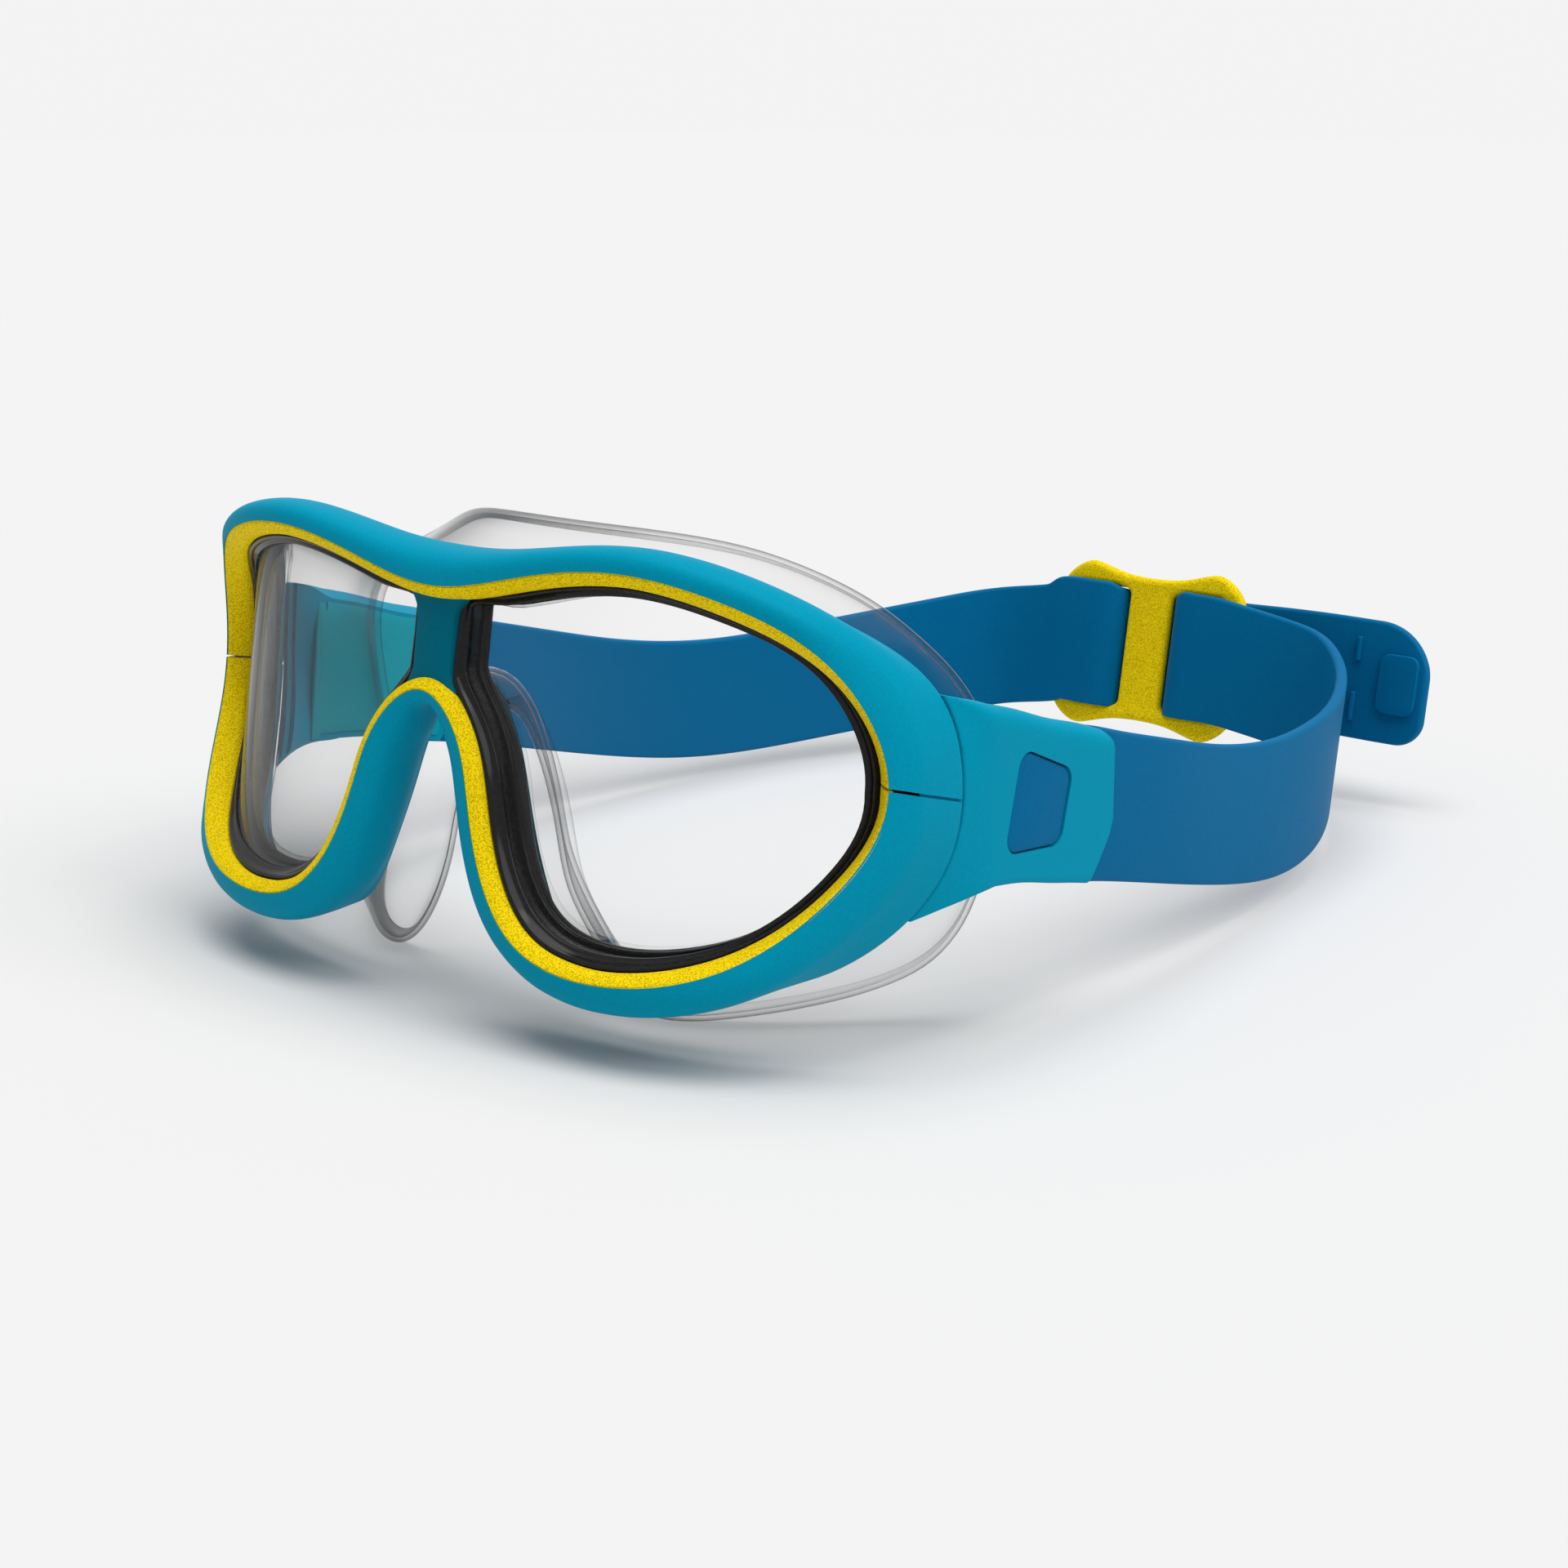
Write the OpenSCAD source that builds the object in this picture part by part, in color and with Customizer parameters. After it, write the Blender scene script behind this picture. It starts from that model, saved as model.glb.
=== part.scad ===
// Swim goggles of the mask kind: two clear windows in one wrapped frame, a soft face skirt,
// two temple arms and an adjustable back strap. Millimetres, +Z up, the face of the wearer
// towards +Y, the wearer's left towards +X. The goggles stand on the skirt and the strap.

/* [Mask] */
// Half width of the mask, from its middle to the crest at the temple
mask_half_w = 72; // [71:0.5:73]
// Backward lean of the mask front, as mm back for each mm of height
mask_lean = 0.16; // [0.14:0.01:0.18]
// How far the temples sweep back behind the middle of the mask
wrap_depth = 22.3; // [21:0.1:24]

/* [Frame] */
// How far the rim stands out beyond its crest at the temples and beside the nose
rim_bulge = 2.4; // [2.2:0.1:2.8]
// Extra stand-out of the rim over the eyes
brow_bulge = 0.5; // [0.2:0.1:1]
// Extra stand-out of the rim over the bridge
bridge_bulge = 2.2; // [1.6:0.1:2.6]
// Extra stand-out of the rim under the eyes
cheek_bulge = 3.4; // [2.4:0.1:3.8]
// Half width of the rim's rear edge, outside the crest
rim_rear = 2.2; // [2:0.1:2.6]
// Depth of the frame at the middle of the mask
frame_depth = 14.5; // [14:0.1:16]
// Width of the column between the windows
column_w = 10.4; // [9:0.1:11]
// Gap where the rim is split at each temple
split_gap = 0.4; // [0.2:0.1:0.8]

/* [Bezel] */
// Width of the sloping bezel, measured across the window
bezel_in = 2.5; // [2.2:0.1:2.8]
// Depth of the bezel's slope, measured backward
bezel_back = 2.4; // [2:0.1:2.8]
// Thickness of the bezel strip
bezel_thick = 1.2; // [1:0.1:1.2]

/* [Windows] */
// Thickness of a lens
lens_thick = 2; // [1.6:0.1:2.2]
// Depth of the seal behind a lens
gasket_depth = 5; // [4:0.1:5.2]

/* [Skirt] */
// Wall of the skirt
skirt_wall = 1.3; // [1:0.1:1.6]
// How far the skirt's wall is drawn in under the brow
skirt_waist = 3.5; // [2:0.5:4]
// Width of the lip that is turned in against the face
lip_w = 3.5; // [2.5:0.5:5]

/* [Arms] */
// Outer face of an arm at its rear end, from the middle of the mask
arm_x = 75; // [74.8:0.1:75.4]
// Thickness of an arm at its rear end
arm_thick = 5.6; // [5.6:0.1:6]
// Rear end of an arm, back from the front of the mask
arm_end_y = 78.5; // [78:0.1:79]

/* [Strap lock] */
// Gap between the lock button and the window that it stands in
lock_gap = 0.3; // [0.25:0.05:0.35]
// Thickness of the lock button
lock_thick = 2; // [1.8:0.1:2]

/* [Strap] */
// Thickness of the strap
strap_thick = 2.2; // [1.8:0.1:2.2]
// Width of the strap over the back of the head
strap_w = 24.4; // [22:0.2:24.6]
// Back of the strap loop, behind the front of the mask
strap_back_y = 204; // [200:1:208]
// Lean of the strap at the back, its upper edge outward, in degrees
strap_lean = 10; // [6:1:12]

/* [Buckle] */
// Width of the slide buckle
buckle_w = 43; // [42:0.5:46]
// Height of the slide buckle over its lobes
buckle_h = 32; // [31:0.5:33]
// Place of the buckle on the strap, from the middle of the mask
buckle_x = -2; // [-4:0.5:4]
// Thickness of the slide buckle
buckle_thick = 2.6; // [2.2:0.1:2.6]
// Width of its middle bar
bar_w = 10; // [8:0.5:11]
// Width of its outer bars
end_bar_w = 5; // [4:0.5:5.5]

/* [Hidden] */

// The front of the mask, so that the origin is under the middle of the whole object
front_y = -108.12;
// Height of the outlines' zero above the floor, where the skirt stands
floor_gap = 3.34;
// Height of the lowest point of the crest, as the outlines count it
crest_low = 10;
// Clearance between fixed pieces that lie against each other
fit = 0.05;
// Width of the frame's wall inside the crest
wall_in = 1.4;
// Stations between two points of a mask outline, and of a strap's path
loop_steps = 4;
path_steps = 3;
wide = mask_half_w / 72;
teal = [0, 0.55, 0.66];
yellow = [0.92, 0.8, 0.06];
blue = [0, 0.36, 0.58];

// Crest of the rim as [x, z], from the top of the bridge round the left eye to the nose
crest_half = [[0, 62], [18, 65], [36, 67.4], [53, 64.4], [66, 55.4], [72, 39], [68, 24.5],
    [57, 14], [41, 10], [27, 11.6], [18, 18.8], [13, 29.5], [9, 40.2], [0, 46.6]];
// Edge of the skirt as [x, z, y], point for point beside the crest
skirt_half = [[0, 67.5, 37.5], [16, 67.9, 39.5], [31, 66, 46.5], [45, 61.4, 51.5], [57, 55, 52.5],
    [65.5, 38, 55], [65, 15.5, 56.5], [56.5, 3, 47], [42, -2, 31.5], [29.5, -3, 25.5], [21, 3, 25.5],
    [15, 16, 24.5], [11, 27.5, 23], [0, 37, 24]];
// Number of the crest's points at the temple split and at the nose
split_at = 5;
nose_at = len(crest_half) - 1;
crest_loop = closed_loop(crest_half);
skirt_loop = closed_loop(skirt_half);
loop_count = len(crest_loop);

// An arm's root on the frame runs between these places of the crest
arm_top_at = 4.25;
arm_low_at = 6.62;
// Side outline of the flat part of an arm as [y, z], with its front edge in the root
arm_front = 48;
arm_edges = [[48, 48.8, 20.6], [54, 46.6, 20.3], [61, 44, 19.5], [68, 41.4, 18.2], [72.8, 39.7, 17]];
arm_outline = [each [for (e = arm_edges) [e.x, e.y]], [arm_end_y, 37.6], [arm_end_y, 25],
    each [for (i = [len(arm_edges) - 1:-1:0]) [arm_edges[i].x, arm_edges[i].z]]];
// The arm's pocket as [y, z], which holds the strap's tongue under the inner plate
pocket = [[49.5, 24.5], [49.5, 38], [57, 42.5], [82, 34], [82, 18.2], [57, 22]];
// Corners of the lock button as [y, z]
lock_corners = [[51.1, 25.6], [55.6, 39.6], [66.4, 35], [64.7, 24.1]];
lock_round = 2;
// Layers of the arm in x: the skin's inner face, the strap's tongue and the inner plate
skin_x = arm_x - 1.8;
tongue_x = skin_x - 0.1 - strap_thick;
plate_x = arm_x - arm_thick + 0.1;
plate_thick = tongue_x - 0.1 - plate_x;
// The strap's tongue with the broad end that follows the arm's rear edge, as [y, z]
tongue = [[49.9, 24.9], [49.9, 37.8], [57.1, 42.1], [78.9, 34.7], [78.9, 37.2], [82.5, 36.4],
    [82.5, 16.4], [73.6, 16.6], [75.4, 19.6], [57.1, 22.4]];

// The left strap's middle line from the arm to the back, as [x, y, z, width, lean]
// and one more point that only sets the direction of its end
back_z = 22.6;
strap_end_x = 36;
strap_path = [[tongue_x + strap_thick / 2, 82, 26.4, 20, 0], [71.6, 99, 21.6, 21.6, 0],
    [70, 116.5, 17.2, 22.8, -3], [68, 134.5, 14, 23.9, -5], [65.3, 151.5, 12.8, strap_w, -4],
    [61, 169, 13.4, strap_w, 0], [53.5, 185.5, 15.2, strap_w, 5], [45.5, 196.5, 17.4, strap_w, 8],
    [strap_end_x, strap_back_y - 1.2, 20, strap_w, strap_lean],
    [strap_end_x - 11, strap_back_y - 0.3, 21.8, strap_w, strap_lean]];
// Depth of the buckle behind the strap's middle line
buckle_y = strap_back_y + buckle_thick / 2 + strap_thick / 2 + 0.15;
layer = buckle_thick / 2 + strap_thick / 2 + 0.2;
bar_edge = bar_w / 2;
slot_x = buckle_w / 2 - end_bar_w;
// Where the straps go on into the buckle, with a hair of room as a part of one step of the path,
// and the width of the free end along its length
strap_joint = [for (i = [3, 2, 1]) strap_path[len(strap_path) - i]];
joint_gap = 0.03;
function tail_w(x) = x > -30 ? strap_w : x > -45 ? strap_w - 1.6 : x > -54 ? 21.4 : x > -57 ? 17.6 : 9;
slot_h = strap_w + 1.2;
lobe_round = 1.5;
// Outline of the buckle's first quarter as [x, z], over its waist and round one lobe
buckle_quarter = [[0, buckle_h / 2 - 2.1], [7, buckle_h / 2 - 1.6], [13, buckle_h / 2 - 0.1],
    [17, buckle_h / 2 - 0.4], [buckle_w / 2 - 1, 12.4], [buckle_w / 2, 6]];
buckle_half = concat(buckle_quarter, [[buckle_w / 2 - 0.2, 0]],
    [for (i = [len(buckle_quarter) - 1:-1:0]) [buckle_quarter[i].x, -buckle_quarter[i].y]]);

function unit(v) = v / norm(v);
function mix(a, b, f) = a + (b - a) * f;
function ramp(v, a, b) = let (f = min(max((v - a) / (b - a), 0), 1)) f * f * (3 - 2 * f);

// A smooth curve through points: p1 to p2 with their neighbours, at f from 0 to 1
function between(p0, p1, p2, p3, f) = 0.5 * (2 * p1 + (p2 - p0) * f
    + (2 * p0 - 5 * p1 + 4 * p2 - p3) * f * f + (3 * p1 - p0 - 3 * p2 + p3) * f * f * f);
function widened(p, side) = [for (i = [0:len(p) - 1]) i == 0 ? p.x * wide * side : p[i]];
function closed_loop(half) = [each [for (p = half) widened(p, 1)],
    each [for (i = [len(half) - 2:-1:1]) widened(half[i], -1)]];
function loop_at(points, at) = let (n = len(points), i = floor(at))
    between(points[(i - 1 + n) % n], points[(i + n) % n], points[(i + 1 + n) % n],
        points[(i + 2 + n) % n], at - i);
function path_at(points, at) = let (n = len(points) - 1, i = min(floor(at), n - 1))
    between(points[max(i - 1, 0)], points[i], points[i + 1], points[min(i + 2, n)], at - i);
function outward(points, at) = let (d = loop_at(points, at + 0.03) - loop_at(points, at - 0.03))
    unit([-d.y, d.x]);

// Depths of the surfaces that the mask is built on, at a place [x, z]
function sweep_back(p, power) = pow(abs(p.x) / mask_half_w, power);
function front_at(p) = mask_lean * (p.y - crest_low) + wrap_depth * sweep_back(p, 4.3);
function rear_at(p) = frame_depth + 0.13 * (p.y - crest_low) + 20.5 * sweep_back(p, 3.5);
function lens_at(p) = 5.1 + 0.165 * (p.y - crest_low) + 26.5 * sweep_back(p, 4);

function crest(at) = loop_at(crest_loop, at);
function crest_out(at) = outward(crest_loop, at);
function beside(at, n) = crest(at) + n * crest_out(at);
function solid_point(p, y) = [p.x, y, p.y];

// Bezel: its inner edge from the crest, as [across, back]
function bezel_edge(at) = let (u = crest_out(at))
    [bezel_in + 0.7 * u.y, bezel_back + 1.2 * abs(u.y)];
function bezel_row(at) = let (y = front_at(crest(at)), e = bezel_edge(at))
    [solid_point(crest(at), y), solid_point(crest(at), y + bezel_thick),
    solid_point(beside(at, -e.x), y + e.y + bezel_thick), solid_point(beside(at, -e.x), y + e.y)];

// Frame: a rounded rim from the crest to its rear edge, and the seat of the bezel inside it
function bulge(at) = let (u = crest_out(at), x = abs(crest(at).x))
    rim_bulge + max(u.y, 0) * (brow_bulge + bridge_bulge * exp(-pow(x / 16, 2)))
    + max(-u.y, 0) * cheek_bulge * ramp(x, 10, 26);
function rear_half(at) = rim_rear
    + 0.6 * (bulge(at) - rim_bulge) * ramp(abs(crest(at).x), 50, 62);
function slope(at) = ramp(abs(crest_out(at).x), 0.5, 0.95) * ramp(abs(crest(at).x), 40, 60);
function frame_row(at) = let (y = front_at(crest(at)), b = bulge(at), r = rear_half(at), s = slope(at),
        back = rear_at(beside(at, r)), e = bezel_edge(at), seat = y + bezel_thick + fit)
    [for (q = [[fit, y], [0.42 * b, y + b * mix(0.04, 0.5, s)], [0.78 * b, y + b * mix(0.22, 0.95, s)],
            [0.96 * b, y + b * mix(0.62, 1.4, s)], [b, y + b * mix(1.2, 2.1, s)],
            [mix(b, r, 0.4), mix(y + 1.6 * b, back, 0.5)],
            [r, back - 0.4], [r - 0.4, back], [-wall_in, rear_at(beside(at, -wall_in))],
            [-wall_in, seat + e.y * wall_in / e.x], [fit, seat]])
        solid_point(beside(at, q.x), q.y)];

// Window: a ring inside the frame's wall, kept clear of the column by a rounded corner
corner = 1.5;
function window_at(at, inset) = let (p = beside(at, -wall_in - fit - inset),
        side = column_w / 2 + fit + inset)
    [side + corner * ln(1 + exp((p.x - side) / corner)), p.y];
lens_inset = 1.35;
function gasket_row(at) = let (front = front_at(crest(at)) + bezel_edge(at).y + bezel_thick + 3 * fit,
        rim = lens_inset - fit, step = lens_thick + fit, rear = step + gasket_depth, wide_rim = 2.3)
    [for (q = [[0, rear], [wide_rim, rear], [wide_rim, step], [rim, step], [rim, -1], [0, -1]])
        let (p = window_at(at, q.x))
        solid_point(p, q.y < 0 ? front : min(lens_at(p) + q.y, rear_at(p) - fit))];

// Skirt: a flange behind the frame, a waisted wall out to the edge and a lip turned in to the face
function flange_point(at, n, back) = let (p = beside(at, n)) solid_point(p, rear_at(p) + 2 * fit + back);
function skirt_row(at) = let (s = loop_at(skirt_loop, at), p = [s.x, s.y], y = s.z,
        u = outward(skirt_loop, at), c = crest_out(at), root = beside(at, -1),
        waist = mix(root, p, 0.5) - (2 + skirt_waist * max(c.y, 0)) * c, waist_y = mix(rear_at(root), y, 0.5))
    [flange_point(at, -3.4, 0), flange_point(at, -1, 0), solid_point(waist, waist_y), solid_point(p, y),
    solid_point(p - lip_w * u, y + 1.6), solid_point(p - lip_w * u, y + 1.6 - skirt_wall),
    solid_point(p - (skirt_wall + 0.2) * u, y - 0.5), solid_point(waist - skirt_wall * c, waist_y + 0.4),
    flange_point(at, -2.4, skirt_wall + 0.3), flange_point(at, -3.4, skirt_wall)];

// Arm root: a curve from the frame's rear edge (u = 0) to the arm's flat part (u = 1), down (v)
function curve_at(a, b, c, d, u) = a * pow(1 - u, 3) + 3 * b * u * pow(1 - u, 2)
    + 3 * c * u * u * (1 - u) + d * pow(u, 3);
function arm_point(u, v, inner) = let (at = mix(arm_top_at, arm_low_at, v),
        p = beside(at, inner ? -0.5 : rear_half(at)), y = rear_at(beside(at, rear_half(at))) + 0.15,
        root = solid_point(p, y), end_x = arm_x - (inner ? arm_thick : 0),
        end = [end_x, arm_front + 0.8, mix(arm_edges[0].y, arm_edges[0].z, v)], reach = (end.y - y) / 3)
    curve_at(root, root + [(end_x - p.x) * 0.5, reach, mix(-0.7, 2.4, v)],
        end + [0, -reach, mix(1, 0.2, v)], end, u);
arm_u = 5;
arm_v = 10;
function arm_grid(inner) = [for (i = [0:arm_u]) [for (j = [0:arm_v]) arm_point(i / arm_u, j / arm_v, inner)]];

// Strap: a flat section at a place of a path, with its width leaning by the path's last value
function strap_row(path, at) = let (p = path_at(path, at), a = path_at(path, max(at - 0.05, 0)),
        b = path_at(path, min(at + 0.05, len(path) - 1)),
        along = unit([b.x - a.x, b.y - a.y, b.z - a.z]), out = unit([along.y, -along.x, 0]),
        up = unit(cross(out, along)), side = up * cos(p[4]) + out * sin(p[4]),
        flat = unit(cross(along, side)), middle = [p.x, p.y, p.z])
    [for (q = [[1, 1], [1, -1], [-1, -1], [-1, 1]])
        middle + side * q.x * p[3] / 2 + flat * q.y * strap_thick / 2];
function strap_rows(path, from, to) = let (n = ceil((to - from) * path_steps))
    [for (i = [0:n]) strap_row(path, mix(from, to, i / n))];

// A polygon with its corners rounded by arcs
function rounded(corners, r, arc = 6) = let (n = len(corners))
    [for (i = [0:n - 1]) let (c = corners[i], a = unit(corners[(i - 1 + n) % n] - c),
            b = unit(corners[(i + 1) % n] - c), half = acos(a * b) / 2, m = c + unit(a + b) * r / sin(half),
            from = atan2(c.y - m.y, c.x - m.x), turn = sign(a.x * b.y - a.y * b.x) * (90 - half))
        each [for (k = [0:arc]) m + r * [cos(from + turn * (1 - 2 * k / arc)),
            sin(from + turn * (1 - 2 * k / arc))]]];

module placed() translate([0, front_y, floor_gap]) children();

// A solid through rows of points, closed into a ring or capped at both ends
module sweep(rows, ring = false) {
    n = len(rows);
    m = len(rows[0]);
    sides = [for (i = [0:n - (ring ? 1 : 2)], j = [0:m - 1])
        let (k = (i + 1) % n, l = (j + 1) % m)
        each [[i * m + j, i * m + l, k * m + l], [i * m + j, k * m + l, k * m + j]]];
    ends = ring ? [] : [[for (j = [m - 1:-1:0]) j], [for (j = [0:m - 1]) (n - 1) * m + j]];
    polyhedron([for (r = rows) each r], concat(sides, ends));
}

// A solid between two grids of points that face each other
module slab(front, back) {
    n = len(front);
    m = len(front[0]);
    all = n * m;
    rim = [each [for (j = [0:m - 1]) j], each [for (i = [1:n - 1]) i * m + m - 1],
        each [for (j = [m - 2:-1:0]) (n - 1) * m + j], each [for (i = [n - 2:-1:1]) i * m]];
    faces = [for (i = [0:n - 2], j = [0:m - 2]) let (a = i * m + j, b = a + 1, c = a + m + 1, d = a + m)
        each [[a, c, b], [a, d, c], [all + a, all + b, all + c], [all + a, all + c, all + d]]];
    edge = [for (k = [0:len(rim) - 1]) let (a = rim[k], b = rim[(k + 1) % len(rim)])
        each [[a, b, all + a], [b, all + b, all + a]]];
    polyhedron([for (r = concat(front, back)) each r], concat(faces, edge));
}

// A flat piece from an outline of [y, z] points, from x to x + thick
module side_plate(outline, x, thick) {
    translate([x, 0, 0]) rotate([90, 0, 90]) linear_extrude(thick) polygon(outline);
}

// A flat piece from an outline of [x, z] points, from y to y + thick
module front_plate(outline, y, thick) {
    translate([0, y + thick, 0]) rotate([90, 0, 0]) linear_extrude(thick) polygon(outline);
}

function stations(from, to) = let (n = ceil((to - from) * loop_steps))
    [for (i = [0:n]) mix(from, to, i / n)];
// Half of the split gap as a part of one step between outline points
split_half = split_gap / 2 / norm(crest(split_at + 0.5) - crest(split_at - 0.5));
upper = stations(split_half - split_at, split_at - split_half);
lower = stations(split_at + split_half, loop_count - split_at - split_half);
whole = [for (i = [0:loop_count * loop_steps - 1]) i / loop_steps];
eye = stations(0, nose_at);

module front_frame() {
    color(teal) placed() {
        sweep([for (at = upper) frame_row(at)]);
        sweep([for (at = lower) frame_row(at)]);
        half = column_w / 2;
        column = [[-half, 46], [half, 46], [half, 62.6], [-half, 62.6]];
        pad = [[-half, 46.8], [half, 46.8], [half, 58.4], [-half, 58.4]];
        front_plate(column, 13.4, 5.8);
        front_plate(pad, 11.2, 2.4);
    }
}

module bezel_upper() {
    color(yellow) placed() sweep([for (at = upper) bezel_row(at)]);
}

module bezel_lower() {
    color(yellow) placed() sweep([for (at = lower) bezel_row(at)]);
}

// One lens: rings of points from its edge to its middle, in front and behind
module lens() {
    middle = [38 * wide, 40];
    shrink = [1, 0.94, 0.82, 0.62, 0.34];
    edge = [for (at = eye) window_at(at, lens_inset)];
    n = len(edge);
    rings = [for (f = shrink) [for (p = edge) mix(middle, p, f)]];
    places = concat([for (r = rings) each r], [middle]);
    count = len(places);
    skin = [for (k = [0:len(shrink) - 2], i = [0:n - 1]) let (a = k * n + i, b = k * n + (i + 1) % n)
        each [[a, b, b + n], [a, b + n, a + n]]];
    hub = [for (i = [0:n - 1]) let (a = (len(shrink) - 1) * n) [a + i, a + (i + 1) % n, count - 1]];
    rear = [for (f = concat(skin, hub)) [count + f[0], count + f[2], count + f[1]]];
    side = [for (i = [0:n - 1]) let (j = (i + 1) % n) each [[j, i, count + i], [j, count + i, count + j]]];
    polyhedron([for (d = [0, lens_thick], p = places) solid_point(p, lens_at(p) + d)],
        concat(skin, hub, rear, side));
}

module lens_left() {
    color([0.9, 0.95, 1, 0.35]) placed() lens();
}

module lens_right() {
    color([0.9, 0.95, 1, 0.35]) placed() mirror([1, 0, 0]) lens();
}

module gasket() {
    sweep([for (at = eye) gasket_row(at)], ring = true);
}

module gasket_left() {
    color([0.05, 0.05, 0.06]) placed() gasket();
}

module gasket_right() {
    color([0.05, 0.05, 0.06]) placed() mirror([1, 0, 0]) gasket();
}

module skirt() {
    color([0.85, 0.88, 0.9, 0.5]) placed() sweep([for (at = whole) skirt_row(at)], ring = true);
}

module arm() {
    slab(arm_grid(false), arm_grid(true));
    difference() {
        side_plate(arm_outline, arm_x - arm_thick, arm_thick);
        side_plate(pocket, plate_x - 4, skin_x - plate_x + 4);
        side_plate(rounded(lock_corners, lock_round), skin_x - 1, 5);
    }
}

module arm_left() {
    color(teal) placed() arm();
}

module arm_right() {
    color(teal) placed() mirror([1, 0, 0]) arm();
}

// The plate that closes the pocket on the inner side of an arm
module arm_plate() {
    outline = [[49.8, 24.8], [49.8, 37.8], [57.1, 42.2], [78, 35], [78, 19.1], [57.1, 22.3]];
    side_plate(outline, plate_x, plate_thick);
}

module arm_plate_left() {
    color(teal * 0.85) placed() arm_plate();
}

module arm_plate_right() {
    color(teal * 0.85) placed() mirror([1, 0, 0]) arm_plate();
}

module lock_shape(grow, x, thick) {
    middle = (lock_corners[0] + lock_corners[1] + lock_corners[2] + lock_corners[3]) / 4;
    outline = [for (c = lock_corners) c + unit(c - middle) * grow];
    side_plate(rounded(outline, lock_round), x, thick);
}

module lock_button() {
    lock_shape(-1.4 * lock_gap, arm_x - 0.1 - lock_thick, lock_thick);
}

module strap_lock_left() {
    color(blue) placed() lock_button();
}

module strap_lock_right() {
    color(blue) placed() mirror([1, 0, 0]) lock_button();
}

module strap() {
    difference() {
        side_plate(tongue, tongue_x, strap_thick);
        lock_shape(lock_gap, tongue_x - 1, strap_thick + 2);
    }
    sweep(strap_rows(strap_path, 0, len(strap_path) - 2));
}

module strap_left() {
    color(blue) placed() strap();
}

module strap_right() {
    color(blue) placed() mirror([1, 0, 0]) strap();
}

// The left strap's end, over the outer bar and behind the middle bar, which holds it
module strap_left_end() {
    path = [each strap_joint, each [for (q = [[slot_x + 1, 0], [slot_x - 2, 0], [bar_edge + 4, layer],
            [bar_edge, 2 * layer], [1 - bar_edge, 2 * layer]])
        [q.x + buckle_x, strap_back_y + q.y, back_z, strap_w, strap_lean]]];
    color(blue) placed() sweep(strap_rows(path, 1 + joint_gap, len(path) - 1));
}

// The right strap's free end, through the buckle and out behind the left strap
module strap_right_tail() {
    behind = 2 * layer + strap_thick + 0.3;
    path = [each strap_joint, each [for (q = [[slot_x + 1, 0, 0], [slot_x - 2, 0, 0],
            [bar_edge + 4, behind / 2, 0], [bar_edge, behind, 0], [-bar_edge, behind, 0],
            [-slot_x, behind, -0.8], [-40, behind + 0.5, -1.8], [-52, behind + 1, -2.4],
            [-56, behind + 1.2, -2.5], [-57.6, behind + 1.3, -2.5]])
        [q.x - buckle_x, strap_back_y + q.y, back_z + q.z, tail_w(q.x), strap_lean]]];
    color(blue) placed() mirror([1, 0, 0]) sweep(strap_rows(path, 1 + joint_gap, len(path) - 1));
}

// The slide buckle: a waisted plate with two slots beside its middle bar
module buckle() {
    outline = concat(buckle_half,
        [for (i = [len(buckle_half) - 2:-1:1]) [-buckle_half[i].x, buckle_half[i].y]]);
    smooth_outline = [for (i = [0:len(outline) * 3 - 1]) loop_at(outline, i / 3)];
    slot = [[bar_edge, -slot_h / 2], [slot_x, -slot_h / 2], [slot_x, slot_h / 2], [bar_edge, slot_h / 2]];
    color(yellow) placed() translate([buckle_x, buckle_y, back_z]) rotate([-strap_lean, 0, 0])
        difference() {
            front_plate(smooth_outline, -buckle_thick / 2, buckle_thick);
            for (s = [1, -1]) {
                cut = [for (p = rounded(slot, lobe_round)) [s * p.x, p.y]];
                front_plate(cut, -buckle_thick, 2 * buckle_thick);
            }
        }
}

front_frame();
bezel_upper();
bezel_lower();
lens_left();
lens_right();
gasket_left();
gasket_right();
skirt();
arm_left();
arm_right();
arm_plate_left();
arm_plate_right();
strap_lock_left();
strap_lock_right();
strap_left();
strap_left_end();
strap_right();
strap_right_tail();
buckle();
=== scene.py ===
import math

import bmesh
import bpy
import numpy as np
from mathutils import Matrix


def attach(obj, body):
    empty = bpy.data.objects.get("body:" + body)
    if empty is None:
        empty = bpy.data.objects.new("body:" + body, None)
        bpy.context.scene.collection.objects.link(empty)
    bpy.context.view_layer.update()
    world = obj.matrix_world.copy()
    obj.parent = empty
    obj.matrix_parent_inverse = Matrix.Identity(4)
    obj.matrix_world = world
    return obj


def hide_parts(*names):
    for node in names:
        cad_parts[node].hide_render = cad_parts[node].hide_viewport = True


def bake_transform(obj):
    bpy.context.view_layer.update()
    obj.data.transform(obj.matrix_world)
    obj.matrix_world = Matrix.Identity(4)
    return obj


# Swim goggles of the mask kind. Lengths are millimetres until a mesh is made.
# x runs to the wearer's left, y back from the front of the mask and z up from the outlines' own zero.
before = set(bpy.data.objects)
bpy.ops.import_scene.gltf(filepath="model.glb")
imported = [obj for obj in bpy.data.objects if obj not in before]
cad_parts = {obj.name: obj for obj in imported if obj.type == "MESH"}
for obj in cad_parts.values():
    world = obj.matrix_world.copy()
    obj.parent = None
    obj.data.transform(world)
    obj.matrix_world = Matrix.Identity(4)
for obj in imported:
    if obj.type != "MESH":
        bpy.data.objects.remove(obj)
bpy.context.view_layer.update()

MM = 0.001
WELD = 0.002 * MM
FRONT_Y = -108.12
FLOOR_GAP = 3.34

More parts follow.
